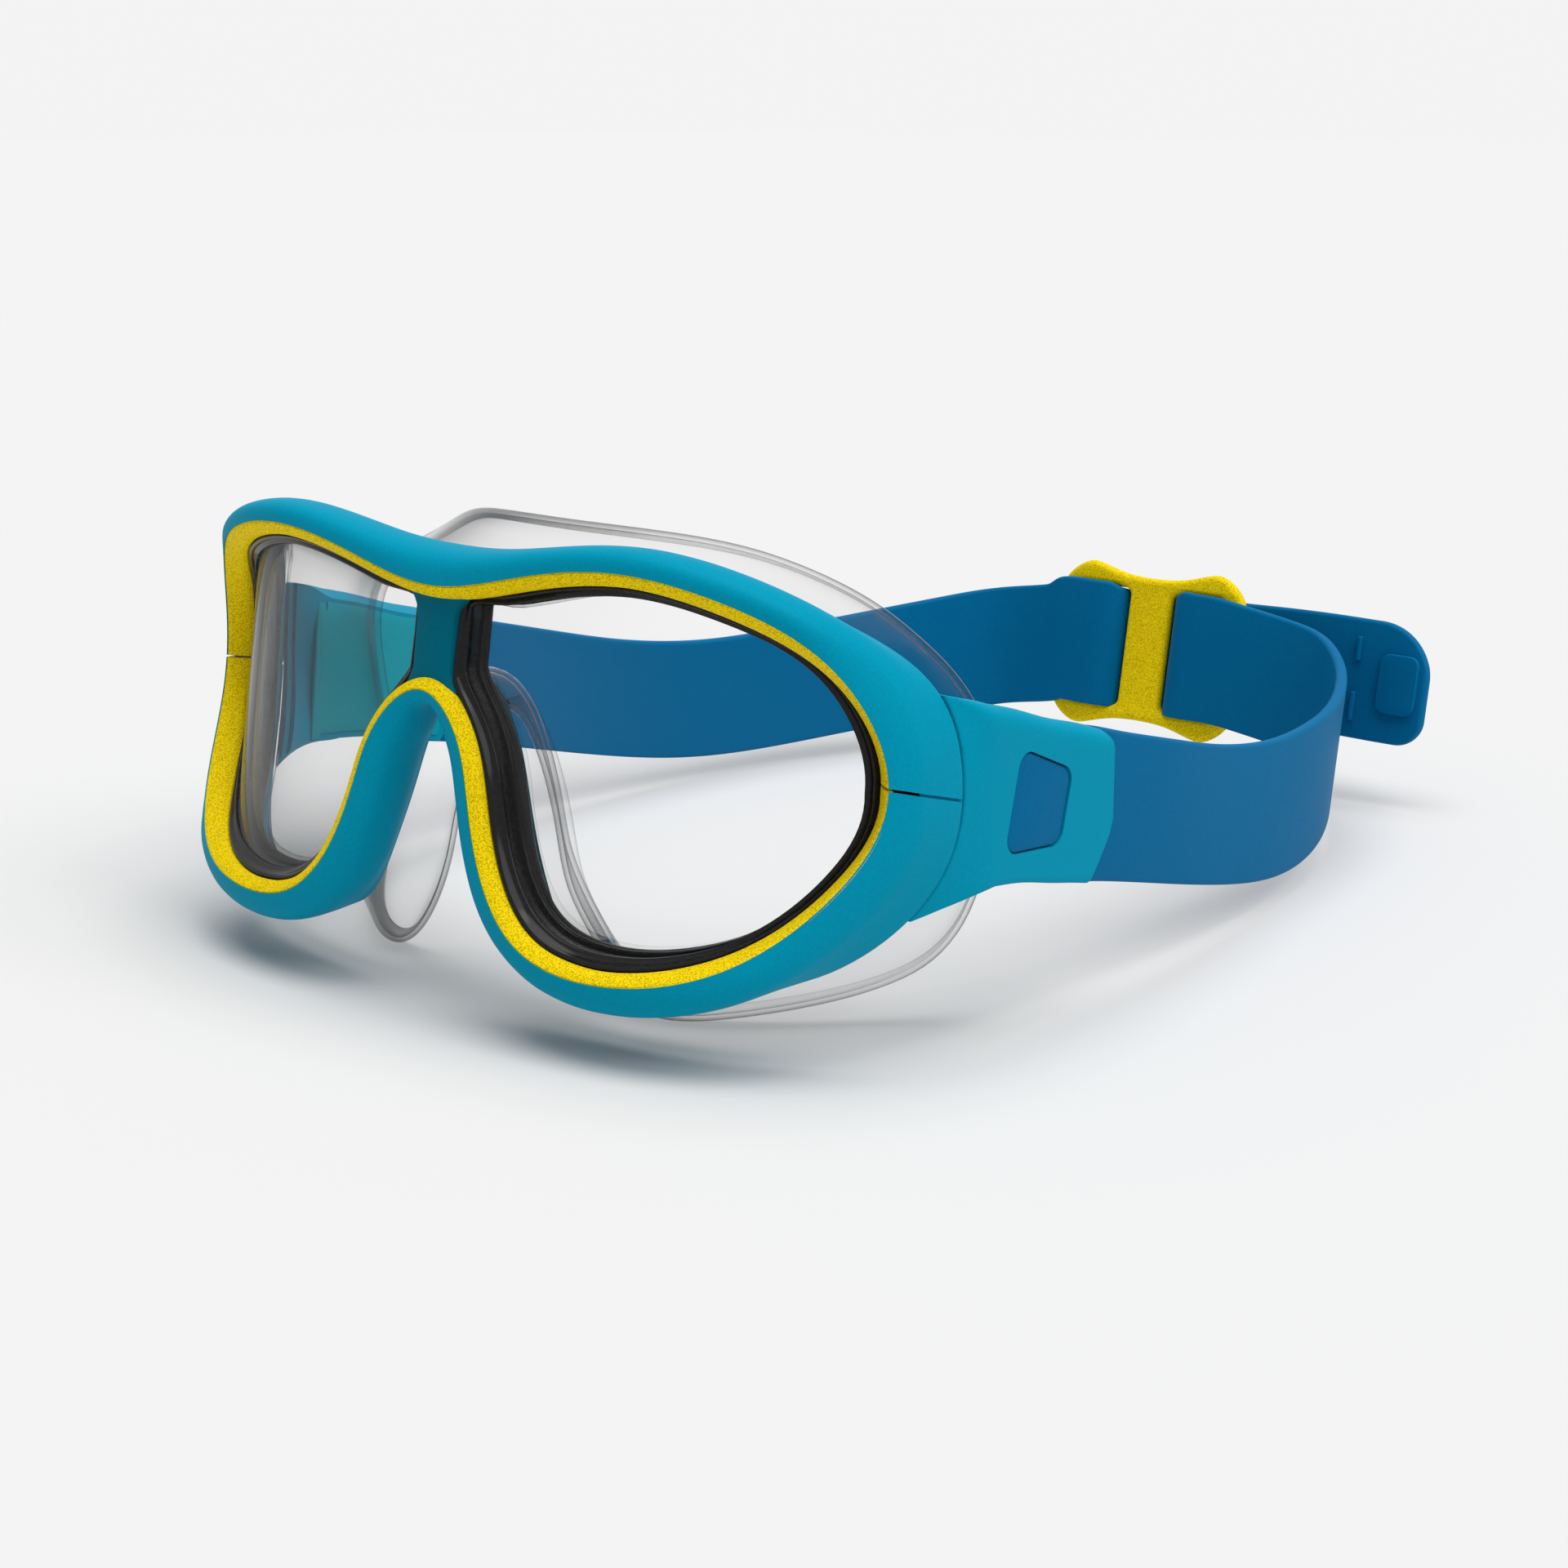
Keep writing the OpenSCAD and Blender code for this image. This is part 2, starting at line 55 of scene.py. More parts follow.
# Mask
HALF_W = 72.0
CREST_LOW = 10.0
FRAME_DEPTH = 14.5
NOSE_FORWARD = 0.35
NOSE_CUT = 0.9
WALL_IN = 1.4
COLUMN_W = 8.4
BEZEL_THICK = 1.2
LENS_THICK = 2.0
LENS_INSET = 1.35
LENS_BACK = 3.9
LENS_SINK = 1.0
GASKET_DEPTH = 1.8
TEMPLE_DEPTH = 2.2
NOSE_DEPTH = 0.7
SKIRT_WALL = 0.8
FIT = 0.05
# Lean with height, wrap at the temples and power of the wrap
FRONT_WRAP = (0.16, 22.3, 4.3)
REAR_WRAP = (0.13, 20.5, 3.5)
LENS_WRAP = (0.165, 26.5, 4)
# Where the nose runs out, as half widths and heights from all of it to none
FRONT_NOSE = ((20, 34), (34, 48))
REAR_NOSE = ((14, 24), (40, 48))
SEAL_NOSE = ((16, 26), (34, 44))
# Where the temples set in, as half widths from none to all of it
LENS_TEMPLE = (45, 68)
SEAL_TEMPLE = (40, 64)

# Arms, straps and buckle
ARM_X = 75.0
ARM_THICK = 5.6
ARM_FRONT_Y = 48.8
ARM_END_Y = 78.5
STRAP_THICK = 2.2
STRAP_W = 24.4
STRAP_EDGE = 0.8
STRAP_BACK_Y = 204.0
STRAP_LEAN = math.radians(10.0)
BACK_Z = 21.6
BUCKLE_W = 44.6
BUCKLE_H = 33.4
BUCKLE_X = -2.8
BUCKLE_THICK = 2.6
BAR_W = 10.0
END_BAR_W = 5.0

# Crest of the rim as (x, z), from the top of the bridge round the left eye to the nose
CREST_HALF = [(0, 62), (18, 65), (36, 67.4), (53, 64.4), (66, 55.4), (72, 39), (68, 24.5),
              (57, 14), (41, 10), (27, 11.6), (18, 18.8), (13, 29.5), (9, 40.2), (0, 46.6)]
# Rear edge of the rim as (x, z), point for point beside the crest
REAR_HALF = [(0, 64.4), (17.9, 66), (36, 67.4), (52.8, 63.6), (68.6, 54.2), (74.3, 39), (72.2, 21.7),
             (59.5, 9.3), (41.2, 7.0), (25.1, 7.2), (16.6, 18.0), (12.2, 29.4), (8.0, 40.0), (0, 46.1)]
# Edge of the skirt as (x, z, y), point for point beside the crest
SKIRT_HALF = [(0, 67.9, 37.5), (16.2, 67.6, 39.5), (31.3, 65.4, 46), (44.9, 60.5, 51.3),
              (56.8, 54.5, 52.5), (67.6, 40, 55.5), (64.7, 15.3, 56.4), (56.6, 3, 47),
              (41.1, -1.5, 31.8), (29, -2.4, 25.7), (21.8, 2.7, 25.2), (14.2, 14.6, 23.5),
              (10.1, 27.9, 23.9), (0, 41, 25.2)]
SPLIT_AT = 5
NOSE_AT = len(CREST_HALF) - 1
LOOP = 2 * NOSE_AT


# Curves and surfaces
def unit(v):
    return v / np.linalg.norm(v)


def mix(a, b, f):
    return a + (b - a) * f


def ramp(v, a, b):
    """A smooth step from 0 at a to 1 at b."""
    f = min(max((v - a) / (b - a), 0.0), 1.0)
    return f * f * (3 - 2 * f)


class Spline:
    """A smooth curve through points, closed or open, read at a place that is counted in points."""

    def __init__(self, points, closed=False):
        self.points = np.array(points, float)
        self.closed = closed
        n = len(self.points)
        rows = np.eye(n)
        turns = np.zeros_like(self.points)
        for i in range(n):
            if closed or 0 < i < n - 1:
                after = (i + 1) % n
                rows[i, i] = 4
                rows[i, i - 1] += 1
                rows[i, after] += 1
                turns[i] = 6 * (self.points[after] - 2 * self.points[i] + self.points[i - 1])
        self.bends = np.linalg.solve(rows, turns)

    def __call__(self, at):
        n = len(self.points)
        i = math.floor(at)
        if not self.closed:
            i = min(max(i, 0), n - 2)
        f = at - i
        g = 1 - f
        i, j = i % n, (i + 1) % n
        return (g * self.points[i] + f * self.points[j]
                + ((g ** 3 - g) * self.bends[i] + (f ** 3 - f) * self.bends[j]) / 6)


def bezier(a, b, c, d, t):
    s = 1 - t
    return a * s ** 3 + 3 * b * t * s * s + 3 * c * t * t * s + d * t ** 3


def closed_loop(half):
    """A loop from its left half and the mirror image of it."""
    return list(half) + [(-p[0], *p[1:]) for p in half[-2:0:-1]]


crest = Spline(closed_loop(CREST_HALF), closed=True)
rear_edge = Spline(closed_loop(REAR_HALF), closed=True)
skirt_edge = Spline(closed_loop(SKIRT_HALF), closed=True)


def heading(curve, at, step=0.03):
    return curve(at + step) - curve(at - step)


def outward(curve, at):
    d = heading(curve, at)
    return unit(np.array([-d[1], d[0]]))


def beside(at, n):
    return crest(at) + n * outward(crest, at)


def solid_point(p, y):
    return np.array([p[0], y, p[1]])


def wrapped(p, lean, wrap, power):
    """Depth of a face that leans back with height and wraps back towards the temples."""
    return lean * (p[1] - CREST_LOW) + wrap * (abs(p[0]) / HALF_W) ** power


def nose_share(p, half_w, height):
    return (1 - ramp(abs(p[0]), *half_w)) * (1 - ramp(p[1], *height))


def front_at(p):
    return wrapped(p, *FRONT_WRAP) - NOSE_FORWARD * nose_share(p, *FRONT_NOSE)


def rear_at(p):
    return FRAME_DEPTH + wrapped(p, *REAR_WRAP) - NOSE_CUT * nose_share(p, *REAR_NOSE)


def lens_at(p):
    return LENS_BACK + wrapped(p, *LENS_WRAP) + LENS_SINK * ramp(abs(p[0]), *LENS_TEMPLE)


def gasket_depth(p):
    temple, nose = ramp(abs(p[0]), *SEAL_TEMPLE), nose_share(p, *SEAL_NOSE)
    return GASKET_DEPTH + TEMPLE_DEPTH * temple + NOSE_DEPTH * nose


# Meshes
SIDES = ("left", "right")


def placed(p):
    return (p[0] * MM, (p[1] + FRONT_Y) * MM, (p[2] + FLOOR_GAP) * MM)


def loft(rows, ring=False, caps=True):
    """Points and faces of a skin through closed rows of points."""
    n, m = len(rows), len(rows[0])
    points = [p for row in rows for p in row]
    faces = []
    for i in range(n if ring else n - 1):
        here, there = i * m, (i + 1) % n * m
        for j in range(m):
            k = (j + 1) % m
            faces.append((here + j, here + k, there + k, there + j))
    if caps and not ring:
        faces.append(tuple(range(m - 1, -1, -1)))
        faces.append(tuple(range((n - 1) * m, n * m)))
    return points, faces


def joined(*parts):
    points, faces = [], []
    for more_points, more_faces in parts:
        start = len(points)
        points += list(more_points)
        faces += [tuple(i + start for i in f) for f in more_faces]
    return points, faces


def mirrored(part):
    points, faces = part
    return [np.array([-p[0], p[1], p[2]]) for p in points], [tuple(reversed(f)) for f in faces]


def on_side(side, part):
    """A part that is drawn on the wearer's left, or its mirror image."""
    return part if side == "left" else mirrored(part)


def link(name, data):
    obj = bpy.data.objects.new(name, data)
    bpy.context.scene.collection.objects.link(obj)
    return obj


def make(name, part, material, sharp=40):
    """A mesh object from points and faces, welded and with its normals turned outward."""
    points, faces = part
    mesh = bpy.data.meshes.new(name)
    mesh.from_pydata([placed(p) for p in points], [], faces)
    mesh.validate()
    work = bmesh.new()
    work.from_mesh(mesh)
    bmesh.ops.remove_doubles(work, verts=work.verts, dist=WELD)
    bmesh.ops.recalc_face_normals(work, faces=work.faces)
    if work.calc_volume(signed=True) < 0:
        bmesh.ops.reverse_faces(work, faces=work.faces)
    work.to_mesh(mesh)
    work.free()
    mesh.materials.append(material)
    mesh.polygons.foreach_set("use_smooth", [True] * len(mesh.polygons))
    mesh.set_sharp_from_angle(angle=math.radians(sharp))
    return link(name, mesh)


def plate_part(outlines, thick, edge, place):
    """A flat piece with rounded edges from closed outlines of (a, b) points, the outer one first.
    place(a, b, c) gives the solid point, with c from -thick / 2 to thick / 2."""
    curve = bpy.data.curves.new("outline", "CURVE")
    curve.dimensions = "2D"
    curve.fill_mode = "BOTH"
    curve.extrude = thick / 2 - edge
    curve.bevel_depth = edge
    curve.bevel_resolution = 3
    curve.offset = -edge
    for outline in outlines:
        spline = curve.splines.new("POLY")
        spline.points.add(len(outline) - 1)
        for point, (a, b) in zip(spline.points, outline):
            point.co = (a, b, 0, 1)
        spline.use_cyclic_u = True
    holder = link("outline", curve)
    seen = holder.evaluated_get(bpy.context.evaluated_depsgraph_get())
    mesh = bpy.data.meshes.new_from_object(seen)
    points = [place(*v.co) for v in mesh.vertices]
    faces = [tuple(p.vertices) for p in mesh.polygons]
    bpy.data.objects.remove(holder)
    bpy.data.curves.remove(curve)
    bpy.data.meshes.remove(mesh)
    return points, faces


def box(left, right, low, high):
    return [(left, low), (right, low), (right, high), (left, high)]


def rounded(corners, r, arc=8):
    """A polygon with its corners rounded by arcs."""
    points = []
    n = len(corners)
    for i in range(n):
        c = np.array(corners[i], float)
        a = unit(np.array(corners[i - 1]) - c)
        b = unit(np.array(corners[(i + 1) % n]) - c)
        half = math.acos(np.clip(a @ b, -1, 1)) / 2
        m = c + unit(a + b) * r / math.sin(half)
        start = math.atan2(c[1] - m[1], c[0] - m[0])
        turn = math.copysign(math.pi / 2 - half, a[0] * b[1] - a[1] * b[0])
        for k in range(arc + 1):
            angle = start + turn * (1 - 2 * k / arc)
            points.append((m[0] + r * math.cos(angle), m[1] + r * math.sin(angle)))
    return points


# Materials
# Marks the skirt's folded lip, where its painted dark refraction edge shows most
FOLD_SHADE_MASK = "fold_shade_mask"


def material(name, colour, roughness, **sockets):
    m = bpy.data.materials.new(name)
    m.use_nodes = True
    shader = m.node_tree.nodes["Principled BSDF"]
    shader.inputs["Base Color"].default_value = (*colour, 1)
    shader.inputs["Roughness"].default_value = roughness
    for key, value in sockets.items():
        shader.inputs[key.replace("_", " ").title().replace("Ior", "IOR")].default_value = value
    return m


def add(holder, kind, **values):
    node = holder.node_tree.nodes.new(kind)
    for key, value in values.items():
        if hasattr(node, key):
            setattr(node, key, value)
        else:
            node.inputs[key].default_value = value
    return node


def wire(holder, source, target):
    holder.node_tree.links.new(source, target)


def shade(m, key, source):
    wire(m, source, m.node_tree.nodes["Principled BSDF"].inputs[key])


def noise(m, scale, detail=2.0):
    place = add(m, "ShaderNodeTexCoord")
    node = add(m, "ShaderNodeTexNoise", Scale=scale, Detail=detail)
    wire(m, place.outputs["Object"], node.inputs["Vector"])
    return node.outputs["Fac"]


def between(m, share, low, high):
    """A value that runs from low to high as a share runs from 0 to 1."""
    node = add(m, "ShaderNodeMapRange")
    node.inputs["To Min"].default_value = low
    node.inputs["To Max"].default_value = high
    wire(m, share, node.inputs["Value"])
    return node.outputs["Result"]


def vary(m, low, high, share, spread=(0.35, 0.65)):
    """The base colour runs between two colours by a share from 0 to 1."""
    node = add(m, "ShaderNodeValToRGB")
    for end, place, colour in zip(node.color_ramp.elements, spread, (low, high)):
        end.position = place
        end.color = (*colour, 1)
    wire(m, share, node.inputs["Fac"])
    shade(m, "Base Color", node.outputs["Color"])


def rough(m, share, low, high):
    shade(m, "Roughness", between(m, share, low, high))


def bump(m, share, strength, depth):
    node = add(m, "ShaderNodeBump", Strength=strength, Distance=depth)
    wire(m, share, node.inputs["Height"])
    shade(m, "Normal", node.outputs["Normal"])


def clear(m, face_on, edge_on, power):
    """A clear material shows more of itself the flatter it is looked along, where its base colour becomes
    a painted edge tone. Gives the power's socket.
    """
    weight = add(m, "ShaderNodeLayerWeight", Blend=0.5)
    steep = add(m, "ShaderNodeMath", operation="POWER")
    steep.inputs[1].default_value = power
    wire(m, weight.outputs["Facing"], steep.inputs[0])
    shade(m, "Alpha", between(m, steep.outputs["Value"], face_on, edge_on))
    return steep.inputs[1]


def teal_plastic(name, colour):
    m = material(name, colour, 0.5, specular_ior_level=0.025)
    grain = noise(m, scale=3500)
    vary(m, [c * 0.95 for c in colour], [c * 1.04 for c in colour], noise(m, scale=2600, detail=3.0))
    rough(m, grain, low=0.46, high=0.58)
    bump(m, grain, strength=0.12, depth=0.06 * MM)
    return m


def yellow_plastic():
    m = material("yellow grained plastic", (0.78, 0.58, 0.008), 0.55, specular_ior_level=0.025)
    grain = noise(m, scale=4200)
    vary(m, (0.55, 0.385, 0.002), (0.98, 0.735, 0.006), grain, spread=(0.37, 0.55))
    rough(m, grain, low=0.5, high=0.65)
    bump(m, grain, strength=0.35, depth=0.1 * MM)
    return m


def blue_silicone():
    m = material("blue silicone", (0.0, 0.13, 0.3), 0.5, specular_ior_level=0.03)
    vary(m, (0.0, 0.125, 0.29), (0.001, 0.136, 0.312), noise(m, scale=2400, detail=4.0))
    grain = noise(m, scale=1800)
    rough(m, grain, low=0.44, high=0.56)
    bump(m, grain, strength=0.1, depth=0.05 * MM)
    return m


def black_rubber():
    m = material("black rubber", (0.006, 0.006, 0.007), 0.15, specular_ior_level=0.18)
    grain = noise(m, scale=1500)
    vary(m, (0.005, 0.005, 0.006), (0.009, 0.009, 0.010), grain)
    rough(m, grain, low=0.13, high=0.16)
    return m


def clear_lens():
    # The grey base colour shows only where the lens is looked along, as a painted sheen for its
    # reflection at the edges
    m = material("clear lens", (0.2, 0.205, 0.21), 0.04)
    rough(m, noise(m, scale=200), low=0.02, high=0.06)
    clear(m, face_on=0.008, edge_on=0.85, power=2.5)
    return m


def clear_skirt():
    """Clear silicone, whose folded edge shows darker than its wall: its dark base colour is a painted
    dark refraction edge, shown where the wall is looked along and most on the folded lip.
    """
    wall_power, fold_shade_power = 3.4, 1.6
    # The dark base colour is painted refraction shade, shown only where the silicone is looked along
    m = material("clear silicone", (0.03, 0.032, 0.034), 0.1, specular_ior_level=0.4)
    rough(m, noise(m, scale=300), low=0.06, high=0.12)
    power = clear(m, face_on=0.03, edge_on=0.97, power=wall_power)
    edge = add(m, "ShaderNodeAttribute", attribute_name=FOLD_SHADE_MASK)
    wire(m, between(m, edge.outputs["Fac"], wall_power, fold_shade_power), power)
    return m


TEAL = teal_plastic("teal plastic", (0.0, 0.28, 0.43))
# The column is the same teal plastic painted darker: painted shade for its recess under the brow
SHADED_COLUMN_TEAL = teal_plastic("teal column", (0.0, 0.13, 0.2))
PLATE = teal_plastic("teal inner plate", (0.0, 0.34, 0.42))
YELLOW = yellow_plastic()
BLUE = blue_silicone()
BLACK = black_rubber()
LENS = clear_lens()
SKIRT = clear_skirt()


def hand_in(obj, body, slot, *nodes):
    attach(obj, body)
    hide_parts(*nodes)


# Rim
# How far the rim stands out from its crest, and the stretches of half width where that changes
RIM_BULGE = 2.4
BROW_BULGE = 0.8
BRIDGE_BULGE = 2.0
BRIDGE_HALF = 16
CHEEK_BULGE = 3.0
CHEEK_FROM = (10, 26)
NOSE_BULGE = 2.2
NOSE_TURN = 0.3
NOSE_FROM = (2, 9)
NOSE_TO = (16, 26)
# Where the rim's face slopes back at the temples, as its outward direction's share of x and as half width
SLOPE_TURN = (0.5, 0.95)
SLOPE_FROM = (40, 60)
# The section's rounded front in shares of the bulge, on the front and at the temples
ROUND_DEPTH = (1.2, 2.1)
ROUND_OUT = (0.75, 0.5)
ROUND_BACK = (0.0, 0.55)
ROUND_END = (0.85, 0.55)
ROUND_STEPS = 10
# The section's side in shares of its depth and of its fall
SIDE_START = 0.4
SIDE_END = 0.35
SIDE_FALL = 0.4
SIDE_STEPS = 9
REAR_ROUND = 0.35
REAR_CUT = 0.1
SEAL_ROOM = 0.3
# The seams at the temples
SPLIT_GAP = 0.4
SEAM_DROP = 0.22
SEAM_REACH = 1.5
TONGUE_UNDER = 0.5
TONGUE_FROM = 0.3
# The column between the windows
COLUMN_LOW = 46.4
COLUMN_HIGH = 62.0
COLUMN_STEPS = 18
COLUMN_BACK = 1.8
COLUMN_SHORT = 0.4
FOOT_FLARE = 1.4
FOOT_H = 3.6
HEAD_FLARE = 1.0
HEAD_H = 2.6
HEAD_DROP = 2.5
# Its rounded front edge as (in from its side, back from its front)
COLUMN_ROUND = [(0, 0.9), (0.3, 0.25), (0.9, 0)]


def bulge(at):
    up, x = outward(crest, at)[1], abs(crest(at)[0])
    brow = BROW_BULGE + BRIDGE_BULGE * math.exp(-(x / BRIDGE_HALF) ** 2)
    cheek = CHEEK_BULGE * ramp(x, *CHEEK_FROM)
    nose = NOSE_BULGE * ramp(x, *NOSE_FROM) * (1 - ramp(x, *NOSE_TO))
    return RIM_BULGE + max(up, 0) * brow + max(-up, 0) * cheek + ramp(-up, 0, NOSE_TURN) * nose


def slope(at):
    return ramp(abs(outward(crest, at)[0]), *SLOPE_TURN) * ramp(abs(crest(at)[0]), *SLOPE_FROM)


def rear_in_at(p):
    """How far back the rim reaches on its inner side, just behind the seal of the window."""
    return min(lens_at(p) + LENS_THICK + gasket_depth(p) + SEAL_ROOM, rear_at(p))


def rim_section(at):
    """The rim's section, from the crest round its outside and rear to the seat of the bezel."""
    y, b, s = front_at(crest(at)), bulge(at), slope(at)
    start = np.array([FIT, y])
    top = np.array([b, y + b * mix(*ROUND_DEPTH, s)])
    leave = start + b * np.array([mix(*ROUND_OUT, s), mix(*ROUND_BACK, s)])
    arrive = top - [0, b * mix(*ROUND_END, s)]
    row = []
    for k in range(ROUND_STEPS):
        out, deep = bezier(start, leave, arrive, top, k / ROUND_STEPS)
        row.append(solid_point(beside(at, out), deep))
    edge, wall = rear_edge(at), beside(at, -WALL_IN)
    back = rear_at(edge)
    widest, rear = solid_point(beside(at, b), top[1]), solid_point(edge, back - REAR_ROUND)
    side = np.array([0, rear[1] - top[1], 0])
    fall = widest - rear + side
    leave, arrive = widest + SIDE_START * side, rear + SIDE_FALL * fall - SIDE_END * side
    row += [bezier(widest, leave, arrive, rear, k / SIDE_STEPS) for k in range(SIDE_STEPS + 1)]
    inward = unit(wall - edge)
    row += [solid_point(edge + REAR_CUT * inward, back - REAR_CUT),
            solid_point(edge + REAR_ROUND * inward, back)]
    seat = y + BEZEL_THICK + FIT
    e = bezel_edge(at)
    row += [solid_point(wall, rear_in_at(wall)), solid_point(wall, seat + e[1] * WALL_IN / e[0]),
            solid_point(beside(at, FIT), seat)]
    return row


def seam_shift(at):
    """How far the seam at a temple runs down the crest by the time it reaches the rim's rear edge."""
    near = (at + LOOP / 2) % LOOP - LOOP / 2
    return math.copysign(SEAM_DROP * (1 - ramp(abs(abs(near) - SPLIT_AT), 0, SEAM_REACH)), near)


def rim_row(at):
    """The rim's section, slanted as the seam is."""
    plain = rim_section(at)
    depths = [p[1] for p in plain]
    first, last = depths[0], max(depths)
    row = []
    for k, p in enumerate(plain):
        place = at + seam_shift(at) * (p[1] - first) / (last - first)
        row.append(p if place == at else rim_section(place)[k])
    return row


def stations(start, end, per_step=12):
    n = math.ceil((end - start) * per_step)
    return [mix(start, end, i / n) for i in range(n + 1)]


SPLIT_HALF = SPLIT_GAP / 2 / np.linalg.norm(crest(SPLIT_AT + 0.5) - crest(SPLIT_AT - 0.5))
UPPER = stations(SPLIT_HALF - SPLIT_AT, SPLIT_AT - SPLIT_HALF)
LOWER = stations(SPLIT_AT + SPLIT_HALF, LOOP - SPLIT_AT - SPLIT_HALF)


def column_part():
    """The web between the windows, which leans as the mask does and widens into the rim."""
    rows = []
    for z in np.linspace(COLUMN_LOW, COLUMN_HIGH, COLUMN_STEPS + 1):
        foot = FOOT_FLARE * max(0, 1 - (z - COLUMN_LOW) / FOOT_H) ** 2
        head = HEAD_FLARE * max(0, 1 - (COLUMN_HIGH - HEAD_DROP - z) / HEAD_H) ** 2
        half = COLUMN_W / 2 + foot + head
        y = wrapped((0, z), *FRONT_WRAP) + COLUMN_BACK
        left = [(half, rear_in_at((0, z)) - COLUMN_SHORT)]
        left += [(half - inset, y + deep) for inset, deep in COLUMN_ROUND]
        right = [(-x, deep) for x, deep in left]
        rows.append([np.array([x, deep, z]) for x, deep in right + left[::-1]])
    return loft(rows)


def tongue_part(split):
    """The tongue in the seam at a temple, a little under the rim's skin and clear of its front."""
    reach = 2 * SPLIT_HALF
    behind, ahead = np.array(rim_row(split - reach)), np.array(rim_row(split + reach))
    rows = []
    for row in (behind, ahead):
        skin = np.cross(np.roll(row, -1, 0) - np.roll(row, 1, 0), ahead - behind)
        skin /= np.linalg.norm(skin, axis=1)[:, None]
        skin *= np.sign(np.sum(skin * (row - row.mean(0)), axis=1))[:, None]
        deep = row[:, 1] > mix(row[:, 1].min(), row[:, 1].max(), TONGUE_FROM)
        rows.append(list((row - TONGUE_UNDER * skin)[deep]))
    count = min(len(row) for row in rows)
    return loft([row[:count] for row in rows])


def build_rim():
    part = joined(loft([rim_row(at) for at in UPPER]), loft([rim_row(at) for at in LOWER]),
                  tongue_part(SPLIT_AT), tongue_part(LOOP - SPLIT_AT))
    hand_in(make("front_rim", part, TEAL), "mask", "frame_teal", "front_frame")
    # The column takes the darker teal of painted shade
    hand_in(make("front_column", column_part(), SHADED_COLUMN_TEAL), "mask", "frame_teal", "front_frame")


# Bezels
# How far a strip reaches in from the crest and back from it: everywhere, by its outward direction's rise,
# by how upright that is, at the temples and on the temples' lower half
BEZEL_REACH = np.array([2.3, 1.4])
BEZEL_RISE = np.array([0.33, 0])
BEZEL_UPRIGHT = np.array([-0.38, 0.3])
BEZEL_TEMPLE = np.array([1.5, 1.65])
BEZEL_LOW = np.array([-1.0, 3.0])
BEZEL_TEMPLE_FROM = (25, 55)
# Its section: crown, and drop of each rounded edge with the share of the width that it takes
BEZEL_CROWN = 0.22
CREST_DROP = 0.35
CREST_SHARE = 0.12
WINDOW_DROP = 0.21
WINDOW_SHARE = 0.14
BEZEL_STEPS = 10
BEZEL_LIP = 0.5
BEZEL_UNDERCUT = 0.2


def bezel_edge(at):
    """How far the bezel reaches in from the crest and back from it."""
    u = outward(crest, at)
    temple = ramp(abs(crest(at)[0]), *BEZEL_TEMPLE_FROM) * abs(u[0])
    low = temple * max(-u[1], 0)
    return (BEZEL_REACH + BEZEL_RISE * u[1] + BEZEL_UPRIGHT * abs(u[1])
            + BEZEL_TEMPLE * temple + BEZEL_LOW * low)


def bezel_row(at):
    """A strip with a low crown and rounded edges, from the crest to the window."""
    y, (inside, back) = front_at(crest(at)), bezel_edge(at)
    across = np.array([-inside, back])
    square = unit(np.array([-back, -inside]))
    section = []
    for k in range(BEZEL_STEPS + 1):
        t = k / BEZEL_STEPS
        lift = BEZEL_CROWN * (1 - (2 * t - 1) ** 2)
        lift -= CREST_DROP * max(0, 1 - t / CREST_SHARE) ** 2
        lift -= WINDOW_DROP * max(0, 1 - (1 - t) / WINDOW_SHARE) ** 2
        section.append(across * t + square * lift)
    section += [(-inside, back + BEZEL_LIP), (BEZEL_UNDERCUT - inside, back + BEZEL_THICK),
                (0, BEZEL_THICK)]
    return [solid_point(beside(at, out), y + deep) for out, deep in section]


def build_bezels():
    for name, places in (("bezel_upper", UPPER), ("bezel_lower", LOWER)):
        piece = make(name + "_trim", loft([bezel_row(at) for at in places]), YELLOW)
        hand_in(piece, "mask", "trim_yellow", name)


# Windows
CORNER = 1.5
EYE = stations(0, NOSE_AT, 10)
COLUMN_POINTS = 12
LENS_MIDDLE = np.array([38.0, 40.0])
LENS_BEVEL = 0.35
# Sizes of the rings of points on a lens, from its edge to its middle
LENS_RINGS = (1, 0.97, 0.92, 0.84, 0.74, 0.62, 0.48, 0.32, 0.16)
SEAL_W = 1.6
SEAL_PLAY = 0.07
SEAL_STEP = LENS_THICK + SEAL_PLAY
SEAL_PROUD = 0.9
SEAL_FROM = (6, 14)
# The seal's section as (inset, depth): the bead beside the bezel, the lip over the lens and its pocket
BEAD_BACK = 0.1
SEAL_BEAD = [(-0.1, BEAD_BACK), (0.05, -0.2), (0.3, -0.38), (0.55, -0.28), (0.75, 0.0), (0.85, 0.3)]
SEAL_LIP = [(1.3, -0.75), (SEAL_W - 0.1, -0.65), (SEAL_W, -0.5), (SEAL_W, -FIT)]
SEAL_POCKET = [(LENS_INSET - FIT, -FIT), (LENS_INSET - FIT, SEAL_STEP)]
# The ridged wall behind the lens as (inset from the lip, share of the wall's depth)
SEAL_WALL = [(0.1, 0), (0.3, 0.14), (0.3, 0.38), (0, 0.48), (0, 0.56), (0.3, 0.66), (0.3, 0.9), (0.1, 1)]


def window_edge(at, inset):
    """The left window's edge as (x, z): under the rim round the eye, blended into the column's side."""
    p = beside(at, -WALL_IN - FIT - inset)
    side = COLUMN_W / 2 + FIT + inset
    over = (p[0] - side) / CORNER
    return np.array([side + CORNER * (math.log1p(math.exp(-abs(over))) + max(over, 0)), p[1]])


def closed_row(line):
    """A row of points round the eye, closed by a straight row beside the column."""
    return line + [mix(line[-1], line[0], k / COLUMN_POINTS) for k in range(1, COLUMN_POINTS)]


def window_ring(inset):
    return closed_row([window_edge(at, inset) for at in EYE])


